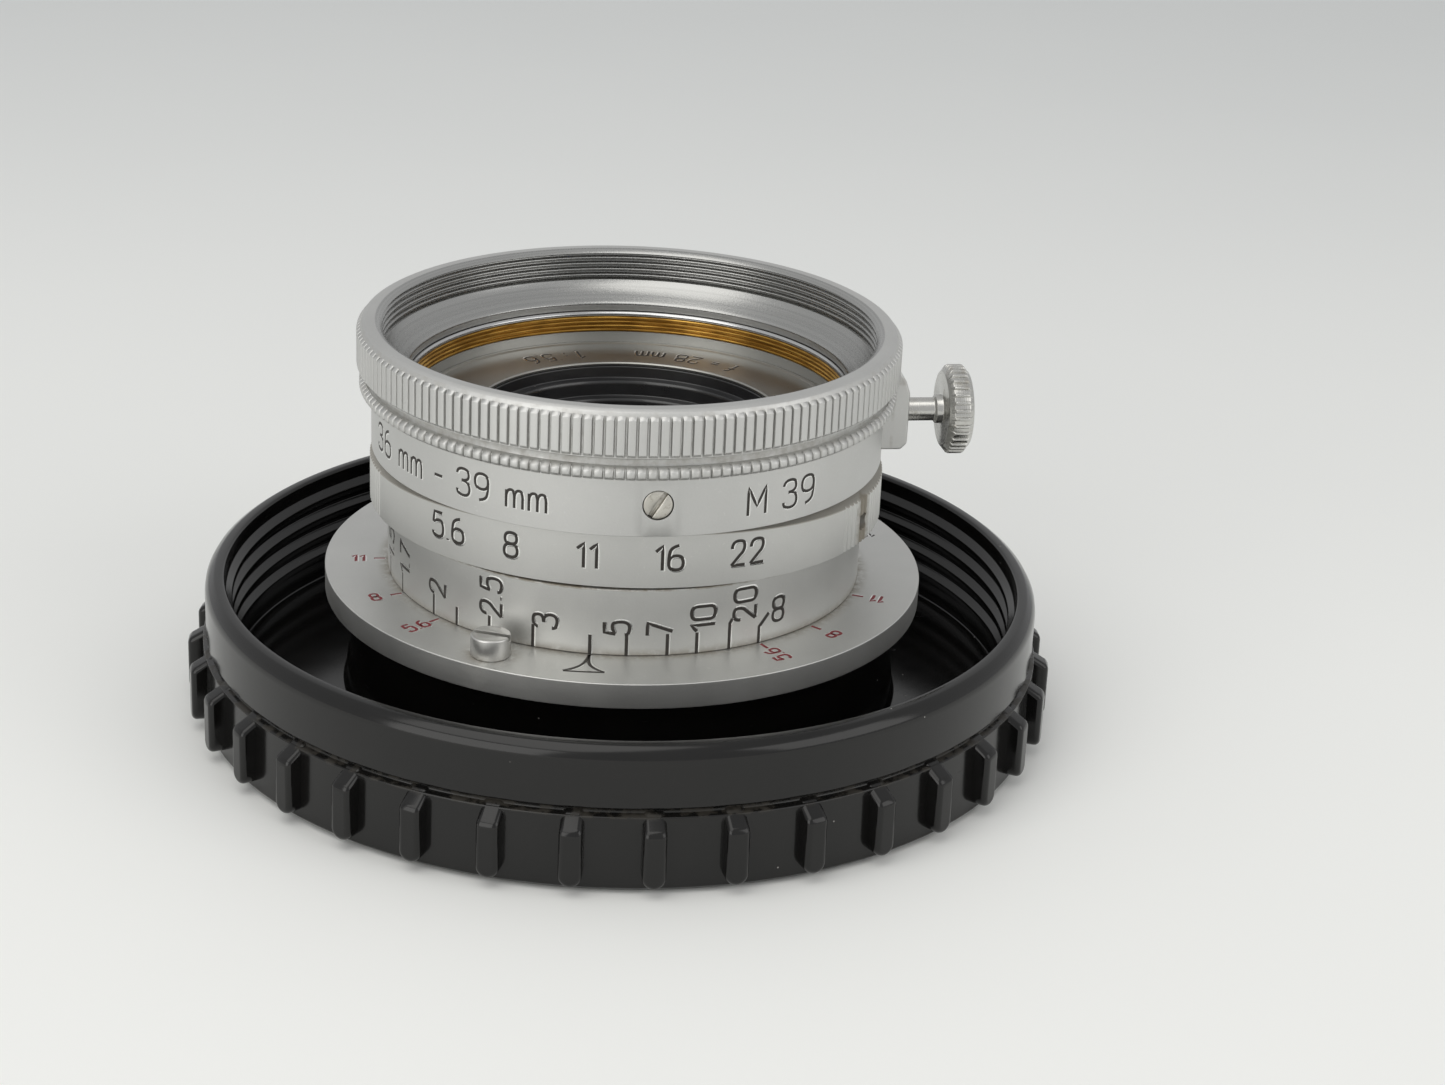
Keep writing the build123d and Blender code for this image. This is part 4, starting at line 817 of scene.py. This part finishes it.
def slotted(piece, face, half_width, depth, angle):
    """Saw a slot across a screw's head, down from its face, at an angle about Z."""
    bpy.ops.object.select_all(action="DESELECT")
    bpy.ops.mesh.primitive_cube_add(
        location=(0, 0, face * MM),
        scale=(2 * MM, half_width * MM, depth * MM),
        rotation=(0, 0, radians(angle)),
    )
    return cut_away(piece, bpy.context.object)


_, _, post_top = size_of("stop_post")
post = turned(
    "stop_post_head",
    [(0, flange_top), (POST_R, flange_top), (POST_R, post_top), (0, post_top)],
    steps=64,
)
soften(post, 0.13, 3)
slotted(post, post_top, 0.24, 0.5, POST_SLOT_ANGLE)
soften(post, 0.035, 1, 40)
settle(post, Matrix.Translation(Vector((*POST_PLACE, 0)) * MM))
NICKEL = metal(
    "bright_nickel", (0.62, 0.615, 0.595), 0.36, grain=0.10, worn=0.5, turning=0.06
)
mount(post, NICKEL, "lens_mount", "bright_chrome", "stop_post")


# ---- Focusing drum ------------------------------------------------------------------------
# A satin chrome sleeve with the distance scale in metres; its foot and its top edge are grimy.
drum_r, drum_foot, drum_top = size_of("focus_drum")
DRUM_BORE_R = 18.27


def drum_soil(place):
    """Grime along the drum's foot, and a brown line under the aperture ring."""
    z = coordinate(place, 2) / MM
    patch = noise(place, 1.4, 4, 0.65)
    foot = 1 - ease(z + patch * 0.9, drum_foot + 0.35, drum_foot + 1.25)
    top = ease(z + patch * 0.2, drum_top - 0.10, drum_top + 0.12)
    return (foot * 0.75).math("MAXIMUM", foot * 0.75, top) * ease(patch, 0.25, 0.6) * 0.8


drum = turned(
    "drum",
    [(DRUM_BORE_R, drum_foot), (drum_r, drum_foot), (drum_r, drum_top), (DRUM_BORE_R, drum_top)],
    steps=240,
)
soften(drum, 0.1, 3)
drum_finish = metal(
    "satin_chrome_drum", CHROME, 0.46, grain=0.15, depth=0.013, dirt_and_shade=drum_soil, worn=0.3
)
mount(drum, drum_finish, "focus_drum", "satin_chrome", "focus_drum")

# Each distance: its angle from the front, its number, how far the number stands aside of its
# line and how long the line is.
DISTANCES = [
    (-129.5, "1", 0.3, 1.6),
    (-95.7, "1.2", 0.3, 1.6),
    (-73.4, "1.5", 0.3, 1.6),
    (-62.5, "1.7", 0.4, 1.6),
    (-47.3, "2", 0.4, 1.7),
    (-39.2, "", 0, 1.5),
    (-29.5, "2.5", 0.1, 1.7),
    (-18.2, "3", 0.95, 1.85),
    (-4.8, "", 0, 1.6),
    (3.5, "5", -0.75, 1.8),
    (12.8, "7", -0.6, 1.75),
    (19.7, "10", 0.45, 1.7),
    (27.7, "20", 1.25, 2.1),
    (35.6, "~", 1.8, 1.35),
]
NUMBER_HEIGHT = 1.9
NUMBER_GAP = 0.12
CLOSE_NUMBERS = ("3", "5", "7")
scale = []
for from_front, number, aside, line in DISTANCES:
    angle = from_front - 90
    leader = [("line", [(0, 0), (line, 0)])]
    if number == "~":
        leader = [("line", [(0, 0), (line, 0), (line + 0.95, -0.85)])]
    if number == "20":
        leader = [("line", [(0, 0), (line, 0), (line + 0.35, -0.2)])]
    scale.append((leader, up_wall(drum_r, angle, drum_foot)))
    if number:
        strokes = strokes_of(number, NUMBER_HEIGHT)
        low = min(x for _, points in strokes for x, _ in points)
        high = max(x for _, points in strokes for x, _ in points)
        foot = drum_foot + line + NUMBER_GAP - low
        if number in CLOSE_NUMBERS:
            foot -= 0.2
        foot = min(foot, drum_top - 0.25 - high)
        raised = [(kind, [(x, y - NUMBER_HEIGHT / 2) for x, y in points]) for kind, points in strokes]
        scale.append((raised, up_wall(drum_r, angle, foot, aside)))
engrave("distance_scale", scale, "focus_drum", "satin_chrome", width=0.31)


# ---- Aperture ring ------------------------------------------------------------------------
# An oval satin chrome ring; its two finely ribbed ends are grips, each with a grub screw.
RING_LONG_R = 20.45
RING_SHORT_R = 19.05
RING_EAR_ANGLE = -5.0
CONE_SLOPE = 1.25 / 2.1
_, _, ring_top = size_of("aperture_ring")
CONE_LINE = ring_top + 18.85 * CONE_SLOPE
GRUB_SCREW_ANGLE = -22


def ring_radius(angle):
    """Return the oval ring's radius in mm at an angle."""
    off = radians(angle - RING_EAR_ANGLE)
    return 1 / hypot(cos(off) / RING_LONG_R, sin(off) / RING_SHORT_R)


def dress(finish, *names):
    """Give CAD nodes a material in place of their plain one."""
    for name in names:
        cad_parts[name].material_slots[0].material = finish


def ring_dirt_and_shade(place):
    """Dirt round the front grub screw, and painted shade on the cone at the ring's top edge, under the
    adapter's skirt.
    """
    turn = radians(GRUB_SCREW_ANGLE)
    spot = distance_from(place, (RING_LONG_R * cos(turn), RING_LONG_R * sin(turn)))
    patch = noise(place, 0.6, 4, 0.6)
    z = coordinate(place, 2) / MM
    # Painted shade on the cone under the skirt, laid on in the dirt colour.
    cone_shade = ease(z + distance_from(place, (0, 0)) * CONE_SLOPE, CONE_LINE - 0.12, CONE_LINE - 0.04)
    dirt = (1 - ease(spot + patch * 0.8, 0.8, 1.7)) * 0.7
    return dirt.math("MAXIMUM", dirt, cone_shade * 0.45)


ring_finish = metal(
    "satin_chrome_ring", CHROME, 0.46, grain=0.15, depth=0.013, dirt_and_shade=ring_dirt_and_shade, worn=0.25
)
dress(ring_finish, "aperture_ring")
STOPS = {-40.8: "5.6", -23.8: "8", -6.0: "11", 12.5: "16", 30.6: "22"}
STOP_HEIGHT = 1.95
STOP_FOOT = 19.04
stops = [
    (strokes_of(number, STOP_HEIGHT), on_wall(ring_radius, from_front - 90, STOP_FOOT))
    for from_front, number in STOPS.items()
]
engrave("stop_numbers", stops, "aperture_ring", "satin_chrome", width=0.30)


# ---- Barrel and front rings ---------------------------------------------------------------
# The chromed barrel carries the 36 mm seat; inside its front are a brass filter thread, a
# thin bright ring, the engraved name ring and a black stepped funnel down to the glass.
SATIN = metal("satin_chrome_plain", CHROME, 0.36, depth=0.005, worn=0.3)
dress(SATIN, "lens_barrel", "focus_lever")

rim_r, rim_foot, rim_top = size_of("front_rim_ring")
FRONT_THREAD_R = 17.1
rim = turned(
    "front_rim",
    [
        (FRONT_THREAD_R + 0.05, rim_foot),
        (rim_r, rim_foot),
        (rim_r, rim_top),
        (FRONT_THREAD_R + 0.2, rim_top),
        (FRONT_THREAD_R + 0.05, rim_top - 0.15),
    ],
)
soften(rim, 0.05, 2)
BRIGHT = metal(
    "bright_ring", (0.60, 0.60, 0.60), 0.16, grain=0.15, depth=0.002, worn=0.4, turning=0.05
)
mount(rim, BRIGHT, "optical_head", "bright_chrome", "front_rim_ring")


def brass_finish():
    """Old brass: golden where it is worn, brown in the roots of the thread."""
    material, shader, place = finish_named("old_brass", Metallic=1.0)
    stain = noise(place, 1.6, 5, 0.65)
    line = noise(place.node("ShaderNodeMapping", {}, {"Vector": place, "Scale": (1, 1, 30)}), 3, 3)
    brown = ease(stain * 0.3 + line * 0.7, 0.34, 0.66)
    feed(
        shader,
        Base_Color=blend_colours(brown, (0.24, 0.115, 0.02), (0.60, 0.35, 0.08)),
        Roughness=0.46 - brown * 0.2,
        Normal=bump(stain, 0.4, 0.01),
    )
    return material


BRASS = brass_finish()
FRONT_THREAD_ROOT = FRONT_THREAD_R + 0.22
FRONT_PITCH = 0.35
brass_r, brass_foot, brass_top = size_of("front_thread_ring")
thread_ring = turned(
    "front_thread",
    [
        (FRONT_THREAD_ROOT, brass_foot),
        (brass_r, brass_foot),
        (brass_r, brass_top),
        (FRONT_THREAD_ROOT, brass_top),
        *reversed(ridges(FRONT_THREAD_ROOT, FRONT_THREAD_R, brass_foot, FRONT_PITCH, 4)),
    ],
)
soften(thread_ring, 0.03, 1)
mount(thread_ring, BRASS, "optical_head", "brass", "front_thread_ring")

name_r, name_foot, name_top = size_of("name_ring")
NAME_BORE_R = 12.2
SLOPE_R = FRONT_THREAD_R - 0.4
NAME_FALL = 0.12
name_deck = name_top - 0.1
name_slope = NAME_FALL / (SLOPE_R - NAME_BORE_R)
name_plate = turned(
    "name_plate",
    [
        (NAME_BORE_R, name_foot),
        (name_r, name_foot),
        (name_r, name_top),
        (name_r - 0.33, name_top),
        (SLOPE_R, name_deck),
        (NAME_BORE_R + 0.1, name_deck - NAME_FALL),
        (NAME_BORE_R, name_deck - NAME_FALL - 0.1),
    ],
    steps=216,
)
soften(name_plate, 0.03, 2, 20)
# Painted shade: this chrome is tinted far darker than the other chrome, standing in for the shade in
# the recess of the lens's front.
SHADED_NAME_CHROME = metal(
    "name_ring_shaded_chrome", (0.40, 0.395, 0.37), 0.30, grain=0.14, depth=0.003, worn=0.3, turning=0.07
)
mount(name_plate, SHADED_NAME_CHROME, "optical_head", "satin_chrome", "name_ring")


def on_name_ring(angle, radius):
    """Text that runs round the name ring with its tops to the axis."""
    def surface(x, y, height):
        turn = radians(angle) + x / radius
        level = name_deck - (SLOPE_R - (radius - y)) * name_slope + height
        return ((radius - y) * cos(turn), (radius - y) * sin(turn), level)
    return surface


NAME_HEIGHT = 1.6
NAME_LINE_R = 15.1
name_marks = [
    (strokes_of(text, NAME_HEIGHT), on_name_ring(angle, NAME_LINE_R))
    for text, angle in (("f = 28 mm", 72), ("1 : 5.6", 118))
]
engrave("name_ring_numbers", name_marks, "optical_head", "satin_chrome", width=0.24)


def black_finish(name, roughness, gloss):
    """Black paint or anodising over metal, with fine dust and rubbed places."""
    material, shader, place = finish_named(name, Coat_Weight=gloss, Coat_Roughness=0.12)
    cloud = noise(place, 2.5, 4, 0.6)
    dust = specks(place, 0.9, 0.05, 0.16)
    black = blend_colours(cloud, (0.006, 0.006, 0.007), (0.016, 0.016, 0.017))
    feed(
        shader,
        Base_Color=blend_colours(dust * 0.7, black, (0.30, 0.28, 0.24)),
        Roughness=roughness + (cloud - 0.5) * 0.15,
        Normal=bump(noise(place, 0.1, 2), 0.3, 0.004),
    )
    return material


BAFFLE_STEPS = 7
BAFFLE_DEPTH = 8.6
MOUTH_R = 12.0
THROAT_R = 5.2
baffle_r, baffle_foot, baffle_top = size_of("front_baffle")
step_drop = BAFFLE_DEPTH / BAFFLE_STEPS
step_in = (MOUTH_R - THROAT_R) / BAFFLE_STEPS
stairs = []
for step in range(BAFFLE_STEPS):
    edge_r = MOUTH_R - step * step_in
    level = baffle_top - step * step_drop
    stairs += [(edge_r, level), (edge_r, level - step_drop + 0.28)]
    stairs += [(edge_r - step_in + 0.14, level - step_drop + 0.2)]
    stairs += [(edge_r - step_in + 0.12, level - step_drop + 0.32)]
baffle = turned(
    "baffle",
    [
        *stairs,
        (THROAT_R, baffle_foot + 0.3),
        (THROAT_R, baffle_foot),
        (THROAT_R + 0.9, baffle_foot),
        (MOUTH_R + 1.0, baffle_top - 0.9),
        (MOUTH_R + 1.0, baffle_top - 0.5),
        (baffle_r, baffle_top - 0.5),
        (baffle_r, baffle_top),
    ],
)
soften(baffle, 0.06, 2)
GLOSS_BLACK = black_finish("gloss_black", 0.30, 0.6)
MATT_BLACK = black_finish("matt_black", 0.55, 0.0)
mount(baffle, GLOSS_BLACK, "optical_head", "black_anodised", "front_baffle")


# ---- Filter adapter -----------------------------------------------------------------------
# Turned from aluminium with a fine matt surface: a plain skirt, a narrow and a wide band of
# straight ribs, a 39 mm filter thread in its mouth and a lug for the thumb screw.
ALUMINIUM = (0.62, 0.62, 0.605)
SKIRT_R = 20.27
NARROW_R = 21.2
WIDE_R = 21.4
NARROW_LOW, NARROW_HIGH = 26.95, 27.75
GROOVE_R = 20.45
WIDE_LOW = 28.6
RIB_COUNT = 167
RIB_DEPTH = 0.28
FILTER_THREAD_R = 19.4
FILTER_THREAD_LOW = 29.8
LIP_R = 17.45
CLAMP_ANGLE = 9.0
SET_SCREW_ANGLE = -81.0
SET_SCREW_HEIGHT = 24.68
SET_SCREW_R = 1.1
ADAPTER_BORE_R = 18.25
SEAT_R = 18.05
BAND_RECESS_R = 18.98
BAND_LOW, BAND_HIGH = 22.9, 26.5
_, adapter_foot, adapter_top = size_of("filter_adapter")
lip_low = rim_top + 0.06


def adapter_soil(place):
    """Grey-brown dirt in the groove between the ribs and a few stains on the skirt."""
    z = coordinate(place, 2) / MM
    patch = noise(place, 1.0, 4, 0.65)
    radius = distance_from(place, (0, 0))
    groove = ease(z, 27.6, 27.85) * (1 - ease(z, 28.35, 28.65)) * ease(radius, 20.0, 20.2)
    notches = (1 - ease(radius, WIDE_R - 0.3, WIDE_R - 0.12)) * ease(radius, 20.9, 21.0)
    dirt = groove.math(
        "MAXIMUM", groove * ease(patch, 0.35, 0.7) * 0.3, notches * ease(patch, 0.4, 0.75) * 0.2
    )
    stain = ease(noise(place, 2.2, 5, 0.6), 0.66, 0.8) * 0.18
    return dirt + stain


def mouth(place):
    """The inside of the mouth, above the lip, where the aluminium is turned smooth and painted darker
    as shade.
    """
    z = coordinate(place, 2) / MM
    return (1 - ease(distance_from(place, (0, 0)), 19.92, 20.0)) * ease(z, 28.0, 28.1)


adapter = turned(
    "adapter",
    [
        (ADAPTER_BORE_R, adapter_foot),
        (SKIRT_R, adapter_foot),
        (SKIRT_R, NARROW_LOW - 0.1),
        (NARROW_R - RIB_DEPTH, NARROW_LOW + 0.05),
        (NARROW_R - RIB_DEPTH, NARROW_HIGH - 0.05),
        (GROOVE_R, NARROW_HIGH + 0.1),
        (GROOVE_R, WIDE_LOW - 0.25),
        (WIDE_R - RIB_DEPTH, WIDE_LOW),
        (WIDE_R - RIB_DEPTH, adapter_top - 0.45),
        (WIDE_R - 0.42, adapter_top - 0.18),
        (WIDE_R - 0.75, adapter_top),
        (FILTER_THREAD_R + 0.5, adapter_top),
        (FILTER_THREAD_R + 0.3, adapter_top - 0.12),
        *reversed(ridges(FILTER_THREAD_R + 0.3, FILTER_THREAD_R, FILTER_THREAD_LOW, 0.5, 5)[:-2]),
        (FILTER_THREAD_R - 0.1, FILTER_THREAD_LOW - 0.1),
        (19.0, 29.2),
        (18.2, 28.6),
        (LIP_R + 0.15, 28.3),
        (LIP_R, 28.15),
        (LIP_R, lip_low),
        (SEAT_R, lip_low),
        (SEAT_R, BAND_HIGH),
        (BAND_RECESS_R, BAND_HIGH),
        (BAND_RECESS_R, BAND_LOW),
        (ADAPTER_BORE_R, BAND_LOW),
    ],
    steps=192,
)
soften(adapter, 0.07, 2, 24)


RIB_TOP_WIDTH = 0.58
RIB_FOOT_WIDTH = 0.77


def rib_band(name, radius, low, high, tip):
    """Return a band of straight ribs with chamfered ends, each rooted in the turned body."""
    rib = milled(
        name,
        [
            (radius - RIB_DEPTH - 0.15, low - 0.1),
            (radius, low + tip),
            (radius, high - tip),
            (radius - RIB_DEPTH - 0.15, high + 0.1),
        ],
        RIB_FOOT_WIDTH,
    )
    bpy.ops.object.mode_set(mode="EDIT")
    pick(rib, lambda place: place.x > radius - 0.01)
    bpy.ops.transform.resize(value=(1, RIB_TOP_WIDTH / RIB_FOOT_WIDTH, 1))
    close_up()
    soften(rib, 0.05, 1, 20)
    settle(rib, turn_z(CLAMP_ANGLE + 180 / RIB_COUNT))
    return repeat_round(rib, RIB_COUNT)


WIDE_Ribs = rib_band("WIDE_Ribs", WIDE_R, WIDE_LOW + 0.05, adapter_top - 0.42, 0.28)
narrow_ribs = rib_band("narrow_ribs", NARROW_R, NARROW_LOW - 0.05, NARROW_HIGH + 0.02, 0.2)
LUG_FOOT_R = 19.4
LUG_FACE_R = 22.2
LUG_TOP = 28.9
LUG_WIDTH = 5.6
lug = milled(
    "lug",
    [
        (LUG_FOOT_R, adapter_foot + 0.1),
        (LUG_FACE_R - 0.5, adapter_foot + 0.1),
        (LUG_FACE_R, adapter_foot + 0.6),
        (LUG_FACE_R, 27.0),
        (LUG_FACE_R - 0.35, 28.0),
        (WIDE_R - 0.1, LUG_TOP),
        (LUG_FOOT_R + 0.5, LUG_TOP),
        (LUG_FOOT_R, 28.0),
    ],
    LUG_WIDTH,
)
soften(lug, 0.16, 3, 18)
settle(lug, turn_z(CLAMP_ANGLE))
bpy.ops.object.select_all(action="DESELECT")
bpy.ops.mesh.primitive_cylinder_add(
    vertices=48,
    radius=(SET_SCREW_R + 0.07) * MM,
    depth=4 * MM,
    location=(21 * MM, 0, SET_SCREW_HEIGHT * MM),
    rotation=(0, pi / 2, 0),
)
bore = bpy.context.object
bpy.ops.object.transform_apply()
settle(bore, turn_z(SET_SCREW_ANGLE))
cut_away(adapter, bore)
joined(adapter, WIDE_Ribs, narrow_ribs, lug)
# Painted shade: inside the mouth the aluminium is painted darker for the shade in the threaded hollow,
# and is also turned smoother and streaked.
adapter_finish = metal(
    "satin_aluminium", ALUMINIUM, 0.46, grain=0.17, depth=0.014, dirt_and_shade=adapter_soil, worn=0.25,
    turned_with_painted_shade=mouth,
)
mount(adapter, adapter_finish, "filter_adapter", "satin_aluminium", "filter_adapter")


def skirt_radius(angle):
    """Return the skirt's radius at an angle: it is round."""
    return SKIRT_R


skirt_marks = [
    (strokes_of("36 mm - 39 mm", 2.1), on_wall(skirt_radius, -41.5 - 90, 23.5)),
    (strokes_of("M 39", 2.2), on_wall(skirt_radius, 37.5 - 90, 23.3)),
]
engrave("adapter_sizes", skirt_marks, "filter_adapter", "satin_aluminium", width=0.27)


# ---- Adapter's slotted screw --------------------------------------------------------------
# A nickelled screw, flush in the skirt, with brass showing where its slot has worn.
def slot_soil(place):
    """Patches where the brass shows through the nickel."""
    return ease(noise(place, 0.35, 3, 0.6), 0.5, 0.7) * 0.35


screw_face = SKIRT_R - 0.07
screw_end = screw_face - 1.4
set_screw = turned(
    "set_screw",
    [(0, screw_end), (SET_SCREW_R, screw_end), (SET_SCREW_R, screw_face), (0, screw_face)],
    steps=56,
)
soften(set_screw, 0.07, 2)
slotted(set_screw, screw_face, 0.17, 0.34, 58)
soften(set_screw, 0.02, 1, 40)
settle(
    set_screw,
    Matrix.Rotation(pi / 2, 4, "Y") @ Matrix.Rotation(pi / 2, 4, "Z"),
    Matrix.Translation((0, 0, SET_SCREW_HEIGHT * MM)),
    turn_z(SET_SCREW_ANGLE),
)
SCREW_STEEL = metal(
    "screw_nickel", (0.60, 0.58, 0.53), 0.30, grain=0.12, dirt_and_shade=slot_soil, worn=0.5
)
mount(set_screw, SCREW_STEEL, "filter_adapter", "nickel_steel", "adapter_set_screw")


# ---- Thumb screw --------------------------------------------------------------------------
# Bright nickelled brass: a plain shank and a thick disc with straight ribs round its edge.
HEAD_FACE = 25.45
HEAD_THICK = 2.05
HEAD_R = 3.6
HEAD_RIBS = 34
SHANK_R = 0.94
SHANK_END = 18.98
SCREW_HEIGHT = 24.75
head = turned(
    "thumb_screw",
    [
        (0, SHANK_END),
        (SHANK_R, SHANK_END),
        (SHANK_R, HEAD_FACE - 0.7),
        (1.15, HEAD_FACE - 0.55),
        (1.15, HEAD_FACE),
        (HEAD_R - 0.55, HEAD_FACE),
        (HEAD_R - 0.16, HEAD_FACE + 0.4),
        (HEAD_R - 0.16, HEAD_FACE + HEAD_THICK - 0.4),
        (HEAD_R - 0.55, HEAD_FACE + HEAD_THICK),
        (0, HEAD_FACE + HEAD_THICK),
    ],
    steps=96,
)
soften(head, 0.05, 2)
head_rib = milled(
    "head_ribs",
    [
        (HEAD_R - 0.55, HEAD_FACE + 0.04),
        (HEAD_R, HEAD_FACE + 0.46),
        (HEAD_R, HEAD_FACE + HEAD_THICK - 0.46),
        (HEAD_R - 0.55, HEAD_FACE + HEAD_THICK - 0.04),
    ],
    0.5,
)
bpy.ops.object.mode_set(mode="EDIT")
pick(head_rib, lambda place: place.x > HEAD_R - 0.01)
bpy.ops.transform.resize(value=(1, 0.45, 1))
close_up()
soften(head_rib, 0.06, 2, 20)
repeat_round(head_rib, HEAD_RIBS)
joined(head, head_rib)
settle(
    head,
    Matrix.Rotation(pi / 2, 4, "Y"),
    Matrix.Translation((0, 0, SCREW_HEIGHT * MM)),
    turn_z(CLAMP_ANGLE),
)


def thumb_finish():
    """Bright, tarnished nickel, with the lathe's rings on the disc's faces and the shank."""
    material, shader, place = finish_named("thumb_nickel", Metallic=1.0)
    along = (cos(radians(CLAMP_ANGLE)), sin(radians(CLAMP_ANGLE)), 0)
    aside = (-along[1], along[0], 0)
    dot = {"operation": "DOT_PRODUCT"}
    out = place.node("ShaderNodeVectorMath", dot, {0: place, 1: along}, "Value")
    across = place.node("ShaderNodeVectorMath", dot, {0: place, 1: aside}, "Value")
    up = coordinate(place, 2) - SCREW_HEIGHT * MM
    radius = (across * across + up * up) ** 0.5
    line = place.node("ShaderNodeCombineXYZ", {}, {0: radius, 1: out})
    rings = noise(line, 0.10, 2, 0.6)
    stain = noise(place, 0.8, 4, 0.6)
    tarnish = ease(stain, 0.55, 0.75)
    feed(
        shader,
        Base_Color=blend_colours(tarnish * 0.5, (0.56, 0.555, 0.53), (0.34, 0.31, 0.26)),
        Roughness=0.17 + rings * 0.16 + tarnish * 0.12,
        Normal=bump(rings, 0.6, 0.012),
    )
    return material


mount(head, thumb_finish(), "clamp_screw", "bright_chrome", "clamp_screw")


# ---- Lever, lock and small screws ---------------------------------------------------------
# The lever is chromed like the drum; its button, catch, pins and screws are plain steel.
dress(NICKEL, "lock_button", "infinity_catch")
dress(
    SCREW_STEEL,
    "catch_screws", "lever_screws", "drum_screws", "helicoid_screws", "cam_key", "drive_keys",
    "ring_grub_screws", "iris_drive_screw",
)
SPRING = metal("spring_steel", (0.40, 0.40, 0.41), 0.32, grain=0.12, worn=0.4)
dress(SPRING, "lock_spring", "clamp_band")


# ---- Focusing movement, cells, iris and glass ---------------------------------------------
# Brass threads and tubes, blackened cells, thin blued blades and coated glass.
dress(
    BRASS,
    "fixed_helicoid", "focusing_helicoid", "drive_sleeve", "rangefinder_cam", "cell_tube",
    "pressure_pad", "iris_slot_ring", "iris_drive_arm",
)
dress(
    MATT_BLACK,
    "front_cell", "rear_cell", "front_retaining_ring", "rear_retaining_ring",
    "cell_retaining_ring", "iris_base_plate",
)
BLADE = metal("blued_blade", (0.05, 0.055, 0.07), 0.34, grain=0.3, depth=0.002, worn=0.5)
dress(BLADE, *(f"iris_blade_{number}" for number in range(1, 7)))


def glass_finish():
    """Optical glass with a thin blue-violet coating and a little dust."""
    material, shader, place = finish_named(
        "coated_glass", IOR=1.52, Transmission_Weight=1.0, Roughness=0.0,
        Coat_Weight=1.0, Coat_Roughness=0.02, Coat_Tint=(0.55, 0.6, 1.0, 1),
    )
    haze = noise(place, 2.0, 3, 0.6)
    feed(shader, Base_Color=blend_colours(haze, (0.93, 0.95, 1.0), (0.97, 0.98, 1.0)))
    return material


dress(
    glass_finish(),
    "front_element", "front_pair_outer", "front_pair_inner",
    "rear_element", "rear_pair_outer", "rear_pair_inner",
)
